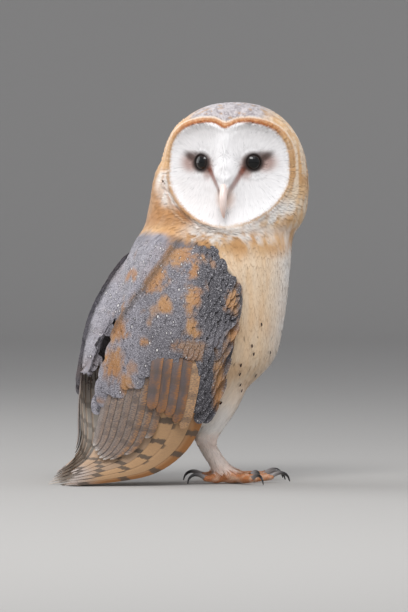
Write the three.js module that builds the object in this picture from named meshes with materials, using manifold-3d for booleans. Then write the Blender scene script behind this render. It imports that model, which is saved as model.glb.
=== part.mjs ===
// A barn owl at life size, standing still with its head turned over the right shoulder.
// Millimetres, +Z up. The body faces +X, its left side is +Y, and the floor is Z = 0.
// Everything is built round the point on the floor between the feet, and moved at the end
// so that the origin is the middle of the base.
import * as THREE from "three";
import { mergeVertices } from "three/addons/utils/BufferGeometryUtils.js";
import Module from "manifold-3d";

const wasm = await Module();
wasm.setup();

// ---- Driving dimensions ----
const gap = 0.3; // clearance between neighbouring pieces
const headYaw = THREE.MathUtils.degToRad(-126); // the face looks back past the right wing
const headCentre = new THREE.Vector3(2, 0, 231); // between the ears, at eye level
const eyeSpacing = 35.6;
const eyeRadius = 8.2;
const eyeForward = 22.8; // middle of each eyeball from the middle of the head
const eyeDrop = 0.8;
const discHalfWidth = 43.5;
const discMiddle = -9; // where the disc is widest, below eye level
const discUp = 36.5; // from there to its top
const discDown = 37.8; // and to its bottom
const browNotch = 4.5; // depth of the V over the bill
const skull = { middle: -20, halfWidth: 55, up: 64, down: 44, widest: -2, nape: -49 };
const throatLevel = 178; // cut between head and neck
const shoulderLevel = 160; // cut between neck and trunk
const faceCut = 19; // cut between face and skull, forward of the middle of the head
const footSize = [8, 8, 5.4];
const footHeight = 4.2;
const toeRadius = 3.7;

// ---- Solids and small tools ----
function solidOf(geometry) {
  const bare = new THREE.BufferGeometry();
  bare.setAttribute("position", geometry.getAttribute("position"));
  if (geometry.index) bare.setIndex(geometry.index);
  const merged = mergeVertices(bare, 1e-4);
  return new wasm.Manifold(
    new wasm.Mesh({
      numProp: 3,
      vertProperties: new Float32Array(merged.attributes.position.array),
      triVerts: new Uint32Array(merged.index.array),
    }),
  );
}

function geometryOf(solid) {
  const mesh = solid.getMesh();
  const geometry = new THREE.BufferGeometry();
  geometry.setAttribute("position", new THREE.BufferAttribute(new Float32Array(mesh.vertProperties), 3));
  geometry.setIndex(new THREE.BufferAttribute(new Uint32Array(mesh.triVerts), 1));
  geometry.computeVertexNormals();
  return geometry;
}

function geometryFrom(points, faces) {
  const geometry = new THREE.BufferGeometry();
  geometry.setAttribute("position", new THREE.Float32BufferAttribute(points.flatMap((p) => [p.x, p.y, p.z]), 3));
  geometry.setIndex(faces.flat());
  return geometry;
}

// A closed body through rings of points, each end drawn to its middle.
function loft(rings) {
  const around = rings[0].length;
  const points = rings.flat();
  const faces = [];
  for (let r = 0; r + 1 < rings.length; r += 1) {
    for (let k = 0; k < around; k += 1) {
      const next = (k + 1) % around;
      const [a, b] = [r * around + k, r * around + next];
      faces.push([a, b, b + around], [a, b + around, a + around]);
    }
  }
  for (const [row, turned] of [[0, true], [rings.length - 1, false]]) {
    const centre = new THREE.Vector3();
    rings[row].forEach((p) => centre.addScaledVector(p, 1 / around));
    points.push(centre);
    for (let k = 0; k < around; k += 1) {
      const [a, b] = [row * around + k, row * around + ((k + 1) % around)];
      faces.push(turned ? [b, a, points.length - 1] : [a, b, points.length - 1]);
    }
  }
  return outward(solidOf(geometryFrom(points, faces)), () => loftTurned(rings));
}

function loftTurned(rings) {
  return loft(rings.map((ring) => [...ring].reverse()));
}

function outward(solid, turned) {
  return solid.volume() < 0 ? turned() : solid;
}

// A closed sheet between an outer and an inner grid of points of the same size.
function thickSheet(outer, inner) {
  const [rows, columns] = [outer.length, outer[0].length];
  const points = [...outer.flat(), ...inner.flat()];
  const under = rows * columns;
  const at = (r, c) => r * columns + c;
  const faces = [];
  for (let r = 0; r + 1 < rows; r += 1) {
    for (let c = 0; c + 1 < columns; c += 1) {
      const [a, b, d, e] = [at(r, c), at(r, c + 1), at(r + 1, c + 1), at(r + 1, c)];
      faces.push([a, b, d], [a, d, e]);
      faces.push([under + b, under + a, under + d], [under + d, under + a, under + e]);
    }
  }
  const wall = (a, b) => faces.push([b, a, under + a], [b, under + a, under + b]);
  for (let c = 0; c + 1 < columns; c += 1) {
    wall(at(0, c), at(0, c + 1));
    wall(at(rows - 1, c + 1), at(rows - 1, c));
  }
  for (let r = 0; r + 1 < rows; r += 1) {
    wall(at(r + 1, 0), at(r, 0));
    wall(at(r, columns - 1), at(r + 1, columns - 1));
  }
  const solid = solidOf(geometryFrom(points, faces));
  return solid.volume() < 0 ? thickSheet(inner, outer) : solid;
}

// Smooth values along a table of stations: row[0] is the place, the rest are the sizes there.
function smoothRow(table, place) {
  const last = table.length - 1;
  const p = THREE.MathUtils.clamp(place, table[0][0], table[last][0]);
  let i = 0;
  while (i < last - 1 && p > table[i + 1][0]) i += 1;
  const rows = [table[Math.max(i - 1, 0)], table[i], table[i + 1], table[Math.min(i + 2, last)]];
  const span = rows[2][0] - rows[1][0];
  const u = (p - rows[1][0]) / span;
  return rows[1].map((value, k) => {
    if (k === 0) return p;
    const slope = (a, b) => (b[0] === a[0] ? 0 : ((b[k] - a[k]) / (b[0] - a[0])) * span);
    const [m0, m1] = [slope(rows[0], rows[2]), slope(rows[1], rows[3])];
    const [u2, u3] = [u * u, u * u * u];
    return (2 * u3 - 3 * u2 + 1) * value + (u3 - 2 * u2 + u) * m0
      + (3 * u2 - 2 * u3) * rows[2][k] + (u3 - u2) * m1;
  });
}

// sign(x) * |x|^power, for superellipses
const bowed = (x, power) => Math.sign(x) * Math.abs(x) ** power;

function steps(from, to, count) {
  return Array.from({ length: count + 1 }, (_, i) => from + ((to - from) * i) / count);
}

// Round rings along a path: path(u) gives the middle, size(u) the half sizes across and up.
function tube(path, size, { rings = 8, around = 12, grow = 0, up = new THREE.Vector3(0, 0, 1) }) {
  return loft(steps(0, 1, rings).map((u) => {
    const along = path.getTangentAt(u);
    const side = new THREE.Vector3().crossVectors(up, along).normalize();
    const top = new THREE.Vector3().crossVectors(along, side).normalize();
    const [across, high] = size(u);
    const end = u === 0 ? -grow : u === 1 ? grow : 0;
    const middle = path.getPointAt(u).addScaledVector(along, end);
    return steps(0, 2 * Math.PI * (1 - 1 / around), around - 1).map((angle) => middle.clone()
      .addScaledVector(side, (across + grow) * Math.cos(angle))
      .addScaledVector(top, (high + grow) * Math.sin(angle)));
  }));
}

function slab(size, centre) {
  return solidOf(new THREE.BoxGeometry(...size).translate(...centre));
}

const floorSlab = slab([600, 600, 100], [0, 0, -50]);

// ---- Head: rings of the heart-shaped face, then of the skull, from the bill to the nape ----
const headPlace = new THREE.Matrix4()
  .makeRotationZ(headYaw)
  .setPosition(headCentre);

// Both outlines are superellipses with squarer or rounder halves; angle 0 is straight up.
function heartPoint(angle) {
  const upper = Math.cos(angle) > 0;
  const power = upper ? 2 / 3.2 : 2 / 1.85;
  const high = upper ? discUp : discDown;
  const y = discHalfWidth * bowed(Math.sin(angle), power);
  const notchWidth = 6;
  const notch = upper ? browNotch * Math.exp(-((y / notchWidth) ** 2)) : 0;
  return { y, z: discMiddle + high * bowed(Math.cos(angle), power) - notch };
}

function skullPoint(angle) {
  const upper = Math.cos(angle) > 0;
  const power = upper ? 2 / 2.3 : 2 / 2.8;
  const high = upper ? skull.up : skull.down;
  const y = skull.halfWidth * bowed(Math.sin(angle), power);
  return { y, z: skull.middle + high * bowed(Math.cos(angle), power) };
}

// How far forward the face lies at a place of the disc; rim is 0 at its middle and 1 at its edge.
function faceForward(y, z, rim) {
  const [front, sweep, hollow] = [37, 18, 5.5];
  const wrap = front - sweep * (y / discHalfWidth) ** 2;
  const midline = Math.exp(-((y / 8) ** 2));
  const bridge = 2.5 + 5.5 * Math.exp(-(((z + 12) / 9) ** 2));
  const inside = 1 - rim ** 4;
  return wrap - hollow * inside * (1 - midline) + bridge * inside * midline;
}

function headSolid() {
  const around = 32;
  const rings = [];
  const angles = steps(0, 2 * Math.PI * (1 - 1 / around), around - 1);
  for (const rim of [0.12, 0.3, 0.48, 0.68, 0.9]) {
    rings.push(angles.map((angle) => {
      const edge = heartPoint(angle);
      const [y, z] = [edge.y * rim, discMiddle + (edge.z - discMiddle) * rim];
      return new THREE.Vector3(faceForward(y, z, rim), y, z);
    }));
  }
  const ruff = [[1, 1.6], [1.045, 1.6], [1.09, -2]]; // scale of the heart, and how far forward
  for (const [scale, rise] of ruff) {
    rings.push(angles.map((angle) => {
      const edge = heartPoint(angle);
      return new THREE.Vector3(faceForward(edge.y, edge.z, 1) + rise, edge.y * scale, edge.z * scale);
    }));
  }
  for (const turn of steps(0.25, Math.PI / 2, 4)) {
    rings.push(angles.map((angle) => {
      const [edge, to] = [heartPoint(angle), skullPoint(angle)];
      const behindRuff = faceForward(edge.y, edge.z, 1) - 3;
      const from = { y: edge.y * 1.1, z: edge.z * 1.1 };
      return new THREE.Vector3(
        skull.widest + (behindRuff - skull.widest) * Math.cos(turn),
        from.y + (to.y - from.y) * Math.sin(turn),
        from.z + (to.z - from.z) * Math.sin(turn),
      );
    }));
  }
  for (const turn of steps(0.33, Math.PI / 2 - 0.15, 3)) {
    rings.push(angles.map((angle) => {
      const edge = skullPoint(angle);
      const scale = Math.cos(turn);
      const napeHeight = -10;
      return new THREE.Vector3(
        skull.widest + (skull.nape - skull.widest) * Math.sin(turn),
        edge.y * scale,
        napeHeight + (edge.z - napeHeight) * scale,
      );
    }));
  }
  rings.forEach((ring) => ring.forEach((p) => p.applyMatrix4(headPlace)));
  return loft(rings);
}

// The space in front of the face, kept clear of the neck.
function beforeFace() {
  const around = 32;
  const [from, to, clearance] = [14, 120, 1.06];
  const outline = steps(0, 2 * Math.PI * (1 - 1 / around), around - 1).map((angle) => heartPoint(angle));
  return loft([from, to].map((x) => outline.map(({ y, z }) => (
    new THREE.Vector3(x, y * clearance, z * clearance).applyMatrix4(headPlace)))));
}

// ---- Trunk and neck: level rings ----
// Columns: height, front, back, half width, how far the ring sits to the left.
const trunkTable = [
  [36, -34, -66, 12, 0],
  [44, -22, -78, 24, 0],
  [52, -11, -84, 33, 0],
  [62, 2, -87, 40, 0],
  [74, 17, -88, 46, 0],
  [88, 31, -88, 51, 0],
  [104, 35.5, -88, 53, 0],
  [120, 38.5, -86, 54, 0],
  [138, 41, -83, 54, 0],
  [154, 42.5, -80, 54, 0],
  [166, 44, -76, 52, 0],
  [176, 46, -70, 48, 2],
  [187, 54, -62, 38, 8],
  [198, 53, -60, 32, 12],
  [210, 40, -56, 27, 14],
  [219, 24, -54.5, 26, 16],
  [228, 8, -48, 25, 19],
  [236, 6, -43, 20, 19],
  [244, -6, -36, 12, 18],
];

function trunkSolid(grow = 0) {
  const around = 24;
  const last = trunkTable.length - 1;
  return loft(steps(trunkTable[0][0], trunkTable[last][0], 21).map((height, i, all) => {
    const [, front, back, half, aside] = smoothRow(trunkTable, height);
    const middle = (front + back) / 2;
    const end = i === 0 ? -grow : i === all.length - 1 ? grow : 0;
    return steps(0, 2 * Math.PI * (1 - 1 / around), around - 1).map((angle) => {
      const [c, s] = [Math.cos(angle), Math.sin(angle)];
      const power = c < 0 ? 0.88 : 0.96;
      return new THREE.Vector3(
        middle + ((front - back) / 2 + grow) * bowed(c, power),
        aside + (half + grow) * bowed(s, power),
        height + end,
      );
    });
  }));
}

// ---- Wings ----
// Stations from the shoulder to the tip, for the right wing.
// Columns: place, leading edge x y z, trailing edge x y z, how far the wing bows out.
const wingTable = [
  [0.0, -26, -38, 171, -56, -15, 168, 7],
  [0.1, -18, -50, 153, -71, -9, 150, 18],
  [0.2, -16, -55, 131, -84, -5, 128, 24],
  [0.3, -20, -56, 110, -93, -4, 107, 26],
  [0.4, -26, -54, 86, -101, -4, 85, 24],
  [0.5, -32, -50, 62, -109, -5, 66, 20],
  [0.6, -40, -45, 40, -112, -6, 48, 16],
  [0.7, -54, -39, 21, -113, -7, 33, 12],
  [0.8, -76, -32, 7.5, -117, -8, 21, 8],
  [0.9, -105, -23, 2.4, -127, -8, 11.5, 5],
  [1.0, -141, -11, -0.4, -143, -7, 3.2, 1],
];

function wingPoint(along, across, offset) {
  const at = (t) => {
    const row = smoothRow(wingTable, t);
    return { lead: new THREE.Vector3(...row.slice(1, 4)), trail: new THREE.Vector3(...row.slice(4, 7)), bow: row[7] };
  };
  const [here, before, after] = [at(along), at(Math.max(along - 0.02, 0)), at(Math.min(along + 0.02, 1))];
  const chord = new THREE.Vector3().subVectors(here.trail, here.lead);
  const run = new THREE.Vector3().subVectors(after.lead, before.lead).add(after.trail).sub(before.trail);
  const out = new THREE.Vector3().crossVectors(chord, run).normalize();
  const fullness = (4 * across * (1 - across)) ** 0.72; // rises soon behind the leading edge
  return here.lead.clone()
    .addScaledVector(chord, across)
    .addScaledVector(out, here.bow * fullness + offset);
}

// A layer of the wing: start and end give its limits along the wing at each place across it.
function wingLayer({ rows, columns, start, end, from = 0, to = 1, inner, outer, grow = 0 }) {
  const grid = (offset, side) => steps(0, 1, rows).map((v) => steps(from, to, columns).map((across, c) => {
    const along = start(across) - 0.002 * grow + (end(across) - start(across) + 0.004 * grow) * v;
    const edge = c === 0 || c === columns ? 0.6 : 1;
    return wingPoint(along, across, offset(along) * edge + side * grow);
  }));
  return thickSheet(grid(outer, 1), grid(inner, -1));
}

// Rounded feather tips: count of them between the two edges of the wing, each so deep.
const scallops = (across, count, depth) => depth * (1 - Math.abs(Math.sin(Math.PI * across * count)) ** 0.6);

const layers = {
  primaries: {
    rows: 9, columns: 7,
    start: () => 0.41,
    end: (across) => 0.998 - 0.07 * across,
    inner: () => 0, outer: (t) => 2.6 - 0.9 * t,
  },
  secondaries: {
    rows: 6, columns: 9, from: 0.4,
    start: () => 0.4,
    end: (across) => 0.5 + 0.33 * Math.sin((Math.PI / 2) * Math.min(1, (across - 0.4) / 0.26)) ** 0.8
      - 0.1 * Math.max(0, (across - 0.66) / 0.34) - scallops(across, 8, 0.014),
    inner: () => 3.4, outer: (t) => 7.4 - 3 * t,
  },
  coverts: {
    rows: 8, columns: 10,
    start: () => 0,
    end: (across) => 0.5 + 0.07 * Math.cos(Math.PI * Math.min(1, across / 0.4)) + 0.03 * across
      - scallops(across, 8, 0.014),
    inner: (t) => (t < 0.33 ? 0 : 6.8),
    outer: (t) => 6 + 6.5 * Math.sin(Math.PI * THREE.MathUtils.clamp(t / 0.56, 0, 1)) ** 0.7,
  },
};

// ---- Tail: a closed fan that curves down to lie on the floor ----
const tailTable = [
  [0.0, -74, 52, 26],
  [0.2, -84, 32, 24],
  [0.4, -94, 15, 20],
  [0.6, -106, 4.6, 16],
  [0.8, -119, 1, 15],
  [1.0, -133, -0.5, 14],
];

function tailSolid() {
  const [rows, columns] = [6, 9];
  const grid = (lift) => steps(0, 1, rows).map((v) => steps(-1, 1, columns).map((across) => {
    const tips = 0.05 * across * across + scallops((across + 1) / 2, 6, 0.03);
    const [, x, z, half] = smoothRow(tailTable, v * (1 - tips));
    const arch = 4 * (1 - across * across);
    const thick = (3.4 - 1.6 * v) * lift;
    return new THREE.Vector3(x, across * half, z + arch * (1 - v * 0.85) + thick);
  }));
  return thickSheet(grid(1), grid(0));
}

// ---- Legs: thigh, shank, foot, toes and claws ----
const legs = [
  { side: "right", foot: new THREE.Vector3(-10, -22, 0), out: -1 },
  { side: "left", foot: new THREE.Vector3(9, 21, 0), out: 1 },
];

// Direction in degrees from straight ahead towards the bird's outer side, and length without the claw.
const toes = [
  { name: "hallux", angle: 176, length: 25 },
  { name: "inner", angle: -34, length: 28 },
  { name: "middle", angle: 5, length: 32 },
  { name: "outer", angle: 82, length: 28 },
];

const hip = new THREE.Vector3(-18, 0, 80);
const thighTable = [
  [0.0, 24, 20],
  [0.3, 21, 18],
  [0.6, 16, 15],
  [0.85, 11, 11],
  [1.0, 8.4, 8.4],
];

function thighSolid(foot, grow = 0) {
  const [x, y] = [foot.x, foot.y];
  const path = new THREE.CatmullRomCurve3([
    new THREE.Vector3(hip.x, y * 0.92, hip.z),
    new THREE.Vector3((hip.x + x - 16) / 2, y * 0.98, 61),
    new THREE.Vector3(x - 16, y, 46),
    new THREE.Vector3(x - 20, y, 34),
  ]);
  const size = (u) => smoothRow(thighTable, u).slice(1).reverse();
  return tube(path, size, { rings: 5, around: 14, grow, up: new THREE.Vector3(1, 0, 0) });
}

function shankSolid(foot, grow = 0) {
  const path = new THREE.CatmullRomCurve3([
    foot.clone().add(new THREE.Vector3(-24.5, 0, 38)),
    foot.clone().add(new THREE.Vector3(-19, 0, 25)),
    foot.clone().add(new THREE.Vector3(-9, 0, 12)),
    foot.clone().add(new THREE.Vector3(-3, 0, 5.5)),
  ]);
  const size = (u) => [7.6 - 1.4 * u, 8 - 1.2 * u];
  return tube(path, size, { rings: 4, around: 10, grow, up: new THREE.Vector3(1, 0, 0) });
}

function footSolid(foot, grow = 0) {
  const ball = new THREE.SphereGeometry(1, 10, 6);
  ball.scale(...footSize.map((half) => half + grow));
  ball.translate(foot.x, foot.y, footHeight);
  return solidOf(ball);
}

// A function that gives the point so far along a toe and so high.
function alongToe(foot, out, toe) {
  const heading = THREE.MathUtils.degToRad(toe.angle) * out;
  const ahead = new THREE.Vector3(Math.cos(heading), Math.sin(heading), 0);
  return (distance, height) => foot.clone().addScaledVector(ahead, distance).setZ(height);
}

function toeSolid(foot, out, toe, grow = 0) {
  const along = alongToe(foot, out, toe);
  const reach = toe.length;
  const path = new THREE.CatmullRomCurve3([
    along(4, 4.6),
    along(reach * 0.4, 3.5),
    along(reach * 0.7, 3.7),
    along(reach * 0.92, 4.1),
    along(reach, 4.6),
  ]);
  const size = (u) => {
    const pads = 0.35 * Math.cos(u * Math.PI * 6);
    const taper = u > 0.94 ? 0.8 : 1;
    return [(toeRadius - 0.6 * u + pads * 0.5) * taper, (toeRadius + 0.2 - 0.5 * u + pads) * taper];
  };
  return tube(path, size, { rings: 5, around: 6, grow });
}

function clawSolid(foot, out, toe) {
  const along = alongToe(foot, out, toe);
  const start = toe.length - 2;
  const path = new THREE.CatmullRomCurve3([
    along(start, 5),
    along(start + 4.5, 6.9),
    along(start + 9, 6.8),
    along(start + 12.4, 4.4),
    along(start + 13.8, 0.8),
  ]);
  const size = (u) => [1.6 - 1.25 * u, 2.1 - 1.7 * u];
  return tube(path, size, { rings: 4, around: 6 });
}

// ---- Bill and eyes ----
function billSolid(grow = 0) {
  const path = new THREE.CatmullRomCurve3([
    new THREE.Vector3(34, 0, -13),
    new THREE.Vector3(41.5, 0, -19),
    new THREE.Vector3(44.2, 0, -27),
    new THREE.Vector3(43.4, 0, -35),
    new THREE.Vector3(41.6, 0, -39.5),
  ]);
  path.points.forEach((p) => p.applyMatrix4(headPlace));
  const size = (u) => [5.4 * (1 - u) ** 0.65 + 0.7, 5.8 * (1 - u) ** 0.7 + 0.8];
  const forward = new THREE.Vector3(Math.cos(headYaw), Math.sin(headYaw), 0);
  return tube(path, size, { rings: 7, around: 10, grow, up: forward });
}

function eyeSolid(side, grow = 0) {
  const ball = new THREE.SphereGeometry(eyeRadius + grow, 14, 8);
  ball.rotateZ(Math.PI / 2);
  ball.translate(eyeForward, (side * eyeSpacing) / 2, -eyeDrop);
  return solidOf(ball.applyMatrix4(headPlace));
}

// ---- Materials ----
const finishes = {
  white: { color: 0xf3eee6, roughness: 0.9 },
  buff: { color: 0xd9ad7a, roughness: 0.9 },
  cream: { color: 0xe9d6b8, roughness: 0.9 },
  grey: { color: 0x8d8a8c, roughness: 0.85 },
  barred: { color: 0xb98a5a, roughness: 0.8 },
  skin: { color: 0xd9946a, roughness: 0.6 },
  claw: { color: 0x4a4648, roughness: 0.3 },
  bill: { color: 0xe3c4b4, roughness: 0.45 },
  eye: { color: 0x120e0d, roughness: 0.05 },
};
const materials = {};
for (const [name, finish] of Object.entries(finishes)) {
  materials[name] = new THREE.MeshStandardMaterial({ name, ...finish, metalness: 0 });
}

// ---- Assembly ----
const owl = new THREE.Group();
function add(name, solid, finish) {
  const mesh = new THREE.Mesh(geometryOf(solid), materials[finish]);
  mesh.name = name;
  owl.add(mesh);
}

const eyes = { right: eyeSolid(-1), left: eyeSolid(1) };
const sockets = eyeSolid(-1, gap).add(eyeSolid(1, gap));
const trunk = trunkSolid();
const whole = headSolid().add(trunk.subtract(beforeFace())).subtract(sockets).subtract(billSolid(gap));
const level = (from, to) => slab([400, 400, to - from - gap], [0, 0, (from + to) / 2]);
const faceFront = slab([100, 200, 200], [faceCut + 50, 0, 0]);
const faceBack = slab([200, 200, 200], [faceCut - gap - 100, 0, 0]);
const inHeadFrame = (solid) => solid.transform(headPlace.elements);

add("facial_disc", whole.intersect(level(throatLevel, 300)).intersect(inHeadFrame(faceFront)), "white");
add("head", whole.intersect(level(throatLevel, 300)).intersect(inHeadFrame(faceBack)), "buff");
add("bill", billSolid(), "bill");
add("eye_right", eyes.right, "eye");
add("eye_left", eyes.left, "eye");
add("neck", whole.intersect(level(shoulderLevel, throatLevel)), "buff");

const trunkBody = whole.intersect(level(0, shoulderLevel));
const trunkCut = trunkSolid(gap);
add("trunk", trunkBody, "cream");

const mirror = new THREE.Matrix4().makeScale(1, -1, 1);
const wingFinish = { primaries: "barred", secondaries: "barred", coverts: "grey" };
let tail = tailSolid().subtract(trunkCut).subtract(floorSlab);
for (const side of ["right", "left"]) {
  const turned = (solid) => (side === "left" ? solid.transform(mirror.elements) : solid);
  let taken = trunkCut.add(floorSlab);
  for (const [layer, finish] of Object.entries(wingFinish)) {
    const blade = turned(wingLayer(layers[layer]));
    add(`wing_${side}_${layer}`, largest(blade.subtract(taken)), finish);
    const grown = turned(wingLayer({ ...layers[layer], grow: gap }));
    taken = taken.add(grown);
    tail = tail.subtract(grown);
  }
}
add("tail", largest(tail), "barred");

function largest(solid) {
  return solid.decompose().reduce((best, piece) => (piece.volume() > best.volume() ? piece : best));
}

for (const { side, foot, out } of legs) {
  const thigh = thighSolid(foot);
  const shank = shankSolid(foot);
  const pad = footSolid(foot);
  add(`thigh_${side}`, largest(thigh.subtract(trunkCut)), "cream");
  add(`shank_${side}`, largest(shank.subtract(thighSolid(foot, gap)).subtract(trunkCut)), "white");
  add(`foot_${side}`, largest(pad.subtract(shankSolid(foot, gap)).subtract(floorSlab)), "skin");
  let taken = footSolid(foot, gap).add(shankSolid(foot, gap));
  for (const toe of toes) {
    const solid = toeSolid(foot, out, toe);
    add(`toe_${side}_${toe.name}`, largest(solid.subtract(taken).subtract(floorSlab)), "skin");
    taken = taken.add(toeSolid(foot, out, toe, gap));
  }
  for (const toe of toes) {
    const claw = clawSolid(foot, out, toe);
    add(`claw_${side}_${toe.name}`, largest(claw.subtract(taken).subtract(floorSlab)), "claw");
  }
}

const size = new THREE.Box3().setFromObject(owl);
const base = size.getCenter(new THREE.Vector3()).setZ(size.min.z);
owl.position.sub(base);

export default owl;
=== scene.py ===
import itertools
import math
import bpy
import numpy as np
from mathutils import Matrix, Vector
from mathutils.bvhtree import BVHTree


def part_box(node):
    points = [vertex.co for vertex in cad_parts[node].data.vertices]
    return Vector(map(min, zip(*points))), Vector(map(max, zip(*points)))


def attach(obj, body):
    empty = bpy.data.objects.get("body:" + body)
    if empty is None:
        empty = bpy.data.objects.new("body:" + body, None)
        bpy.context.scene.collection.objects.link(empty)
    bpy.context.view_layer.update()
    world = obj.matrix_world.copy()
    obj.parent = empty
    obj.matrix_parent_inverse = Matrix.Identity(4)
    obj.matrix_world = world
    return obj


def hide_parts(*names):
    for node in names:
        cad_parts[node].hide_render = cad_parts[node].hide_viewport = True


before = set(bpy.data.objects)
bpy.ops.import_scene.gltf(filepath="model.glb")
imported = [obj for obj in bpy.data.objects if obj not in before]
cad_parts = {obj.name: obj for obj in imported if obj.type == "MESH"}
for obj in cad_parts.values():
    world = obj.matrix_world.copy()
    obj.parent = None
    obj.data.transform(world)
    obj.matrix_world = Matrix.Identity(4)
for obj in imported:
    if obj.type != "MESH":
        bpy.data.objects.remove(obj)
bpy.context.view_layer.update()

# Places are in millimetres from the point on the floor between the feet: +X is the way the
# breast faces, +Y the owl's left, +Z up. toScene() turns them into the frame's own metres.
rng = np.random.default_rng(7)
scene = bpy.context.scene

headShape = {
    "centre": (2.0, 0.0, 231.0),   # between the ears, at eye level
    "yaw": -126.0,                 # degrees from straight ahead: it looks back past the right wing
    "discHalfWidth": 43.5,
    "discMiddle": -9.0,            # below eye level
    "discUp": 36.5,
    "discDown": 37.8,
    "browNotch": 4.5,              # how far the brow dips in its middle
    "browNotchWidth": 6.0,
    "roundAbove": 3.2,             # 2 is an ellipse, more is squarer, less is more pointed
    "roundBelow": 1.85,
    "eyeForward": 22.8,
    "eyeAside": 17.8,
    "eyeDrop": 0.8,
    "eyeRadius": 8.2,
}
yaw = math.radians(headShape["yaw"])
headCentre = np.array(headShape["centre"])
headAxes = np.array([
    [math.cos(yaw), math.sin(yaw), 0],
    [-math.sin(yaw), math.cos(yaw), 0],
    [0, 0, 1],
])


def toHead(points):
    return (points - headCentre) @ headAxes.T


def fromHead(points):
    return np.asarray(points, float) @ headAxes + headCentre


# How far the frame's origin is from the feet, found from the box of the right eye.
eyeLow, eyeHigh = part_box("eye_right")
eyePlace = fromHead([headShape["eyeForward"], -headShape["eyeAside"], -headShape["eyeDrop"]])
shift = (np.array(eyeLow) + np.array(eyeHigh)) / 2 * 1000 - eyePlace
shift[2] = 0


def toScene(points):
    return (np.asarray(points, float) + shift) / 1000


def toOwl(points):
    return np.asarray(points, float) * 1000 - shift


def ramp01(x, low, high):
    # 0 at low and 1 at high, with a soft start and end
    t = np.clip((x - low) / (high - low), 0, 1)
    return t * t * (3 - 2 * t)


def unit(v):
    return v / np.maximum(np.linalg.norm(v, axis=-1, keepdims=True), 1e-9)


def toLinear(text):
    # from an sRGB hex colour
    c = np.array([int(text[i:i + 2], 16) / 255 for i in (1, 3, 5)])
    return np.where(c <= 0.04045, c / 12.92, ((c + 0.055) / 1.055) ** 2.4)


def rgba(text):
    return (*toLinear(text), 1)


def mix(a, b, share):
    share = np.asarray(share)[..., None]
    return a * (1 - share) + b * share


def mottle(points, size, seed=0):
    # smooth value noise from 0 to 1, with lumps about size mm across
    p = points / size + seed * 17.31
    cell = np.floor(p).astype(np.int64)
    part = p - cell
    part = part * part * (3 - 2 * part)
    total = np.zeros(len(points))
    for corner in range(8):
        step = np.array([corner & 1, corner >> 1 & 1, corner >> 2 & 1])
        c = cell + step
        h = (c[:, 0] * 73856093) ^ (c[:, 1] * 19349663) ^ (c[:, 2] * 83492791)
        h = (h ^ (h >> 13)) * 1274126177
        value = ((h ^ (h >> 16)) & 0xFFFF) / 0xFFFF
        weight = np.prod(np.where(step, part, 1 - part), axis=1)
        total += value * weight
    return total


def heartRim(y, z):
    # 0 at the middle of the facial disc, 1 on its rim
    h = headShape
    notch = h["browNotch"] * np.exp(-(y / h["browNotchWidth"]) ** 2)
    across = np.abs(y) / h["discHalfWidth"]
    up = np.abs(z - h["discMiddle"] + notch) / h["discUp"]
    down = np.abs(z - h["discMiddle"]) / h["discDown"]
    high = (across ** h["roundAbove"] + up ** h["roundAbove"]) ** (1 / h["roundAbove"])
    low = (across ** h["roundBelow"] + down ** h["roundBelow"]) ** (1 / h["roundBelow"])
    return np.where(z > h["discMiddle"], high, low)


def gridFaces(rows, columns, copies=1, flipped=False):
    # the corners of each cell of a grid of points that runs row by row, and of its copies after it
    row, column = np.meshgrid(np.arange(rows - 1), np.arange(columns - 1), indexing="ij")
    first = (row * columns + column).ravel()
    corners = [first, first + columns, first + columns + 1, first + 1]
    if flipped:
        corners = [corners[i] for i in (0, 3, 2, 1)]
    cells = np.stack(corners, 1)
    return (np.arange(copies)[:, None, None] * rows * columns + cells).reshape(-1, 4)


def makeMesh(name, points, faces, closed=False):
    # points are in mm; each face has three or four of their numbers
    if closed:
        # turned so that its faces look outwards
        centred = points - points.mean(axis=0)
        a, b, c = (centred[faces[:, k]] for k in (0, 1, 2))
        if (a * np.cross(b, c)).sum() < 0:
            faces = faces[:, ::-1]
    mesh = bpy.data.meshes.new(name)
    sides = faces.shape[1]
    mesh.vertices.add(len(points))
    mesh.vertices.foreach_set("co", toScene(points).astype(np.float32).ravel())
    mesh.loops.add(faces.size)
    mesh.loops.foreach_set("vertex_index", faces.astype(np.int32).ravel())
    mesh.polygons.add(len(faces))
    mesh.polygons.foreach_set("loop_start", np.arange(0, faces.size, sides, dtype=np.int32))
    mesh.update(calc_edges=True)
    mesh.polygons.foreach_set("use_smooth", np.ones(len(faces), bool))
    obj = bpy.data.objects.new(name, mesh)
    scene.collection.objects.link(obj)
    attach(obj, "root")
    return obj


def setColour(obj, colours):
    layer = obj.data.attributes.new("coat", "FLOAT_COLOR", "POINT")
    full = np.ones((len(colours), 4), np.float32)
    full[:, :3] = np.clip(colours, 0, 1)
    layer.data.foreach_set("color", full.ravel())


def setVector(obj, name, vectors):
    layer = obj.data.attributes.new(name, "FLOAT_VECTOR", "POINT")
    layer.data.foreach_set("vector", vectors.reshape(-1, 3).astype(np.float32).ravel())


def setBakeMap(obj, places):
    layer = obj.data.uv_layers.new(name="OFBake")
    index = np.zeros(len(obj.data.loops), np.int32)
    obj.data.loops.foreach_get("vertex_index", index)
    layer.data.foreach_set("uv", places.reshape(-1, 2)[index].astype(np.float32).ravel())


def dressPiece(obj, material, colours, bakeMap, vectors=None, replaced=None):
    # what every piece but the skin carries: its colours, the vectors that its material reads, its map
    setColour(obj, colours)
    for name, values in (vectors or {}).items():
        setVector(obj, name, values)
    setBakeMap(obj, bakeMap)
    obj.data.materials.append(material)
    if replaced:
        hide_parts(replaced)


view = {
    "azimuth": -25.0,
    "elevation": 1.0,
    "distance": 4000.0,
    "millimetresPerPixel": 0.72,   # at the owl
    "frameHeight": 612,
    "sensor": 36.0,
    "aside": -20.2,                # of the frame's centre from the feet, across the picture
    "height": 126.7,
}


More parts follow.
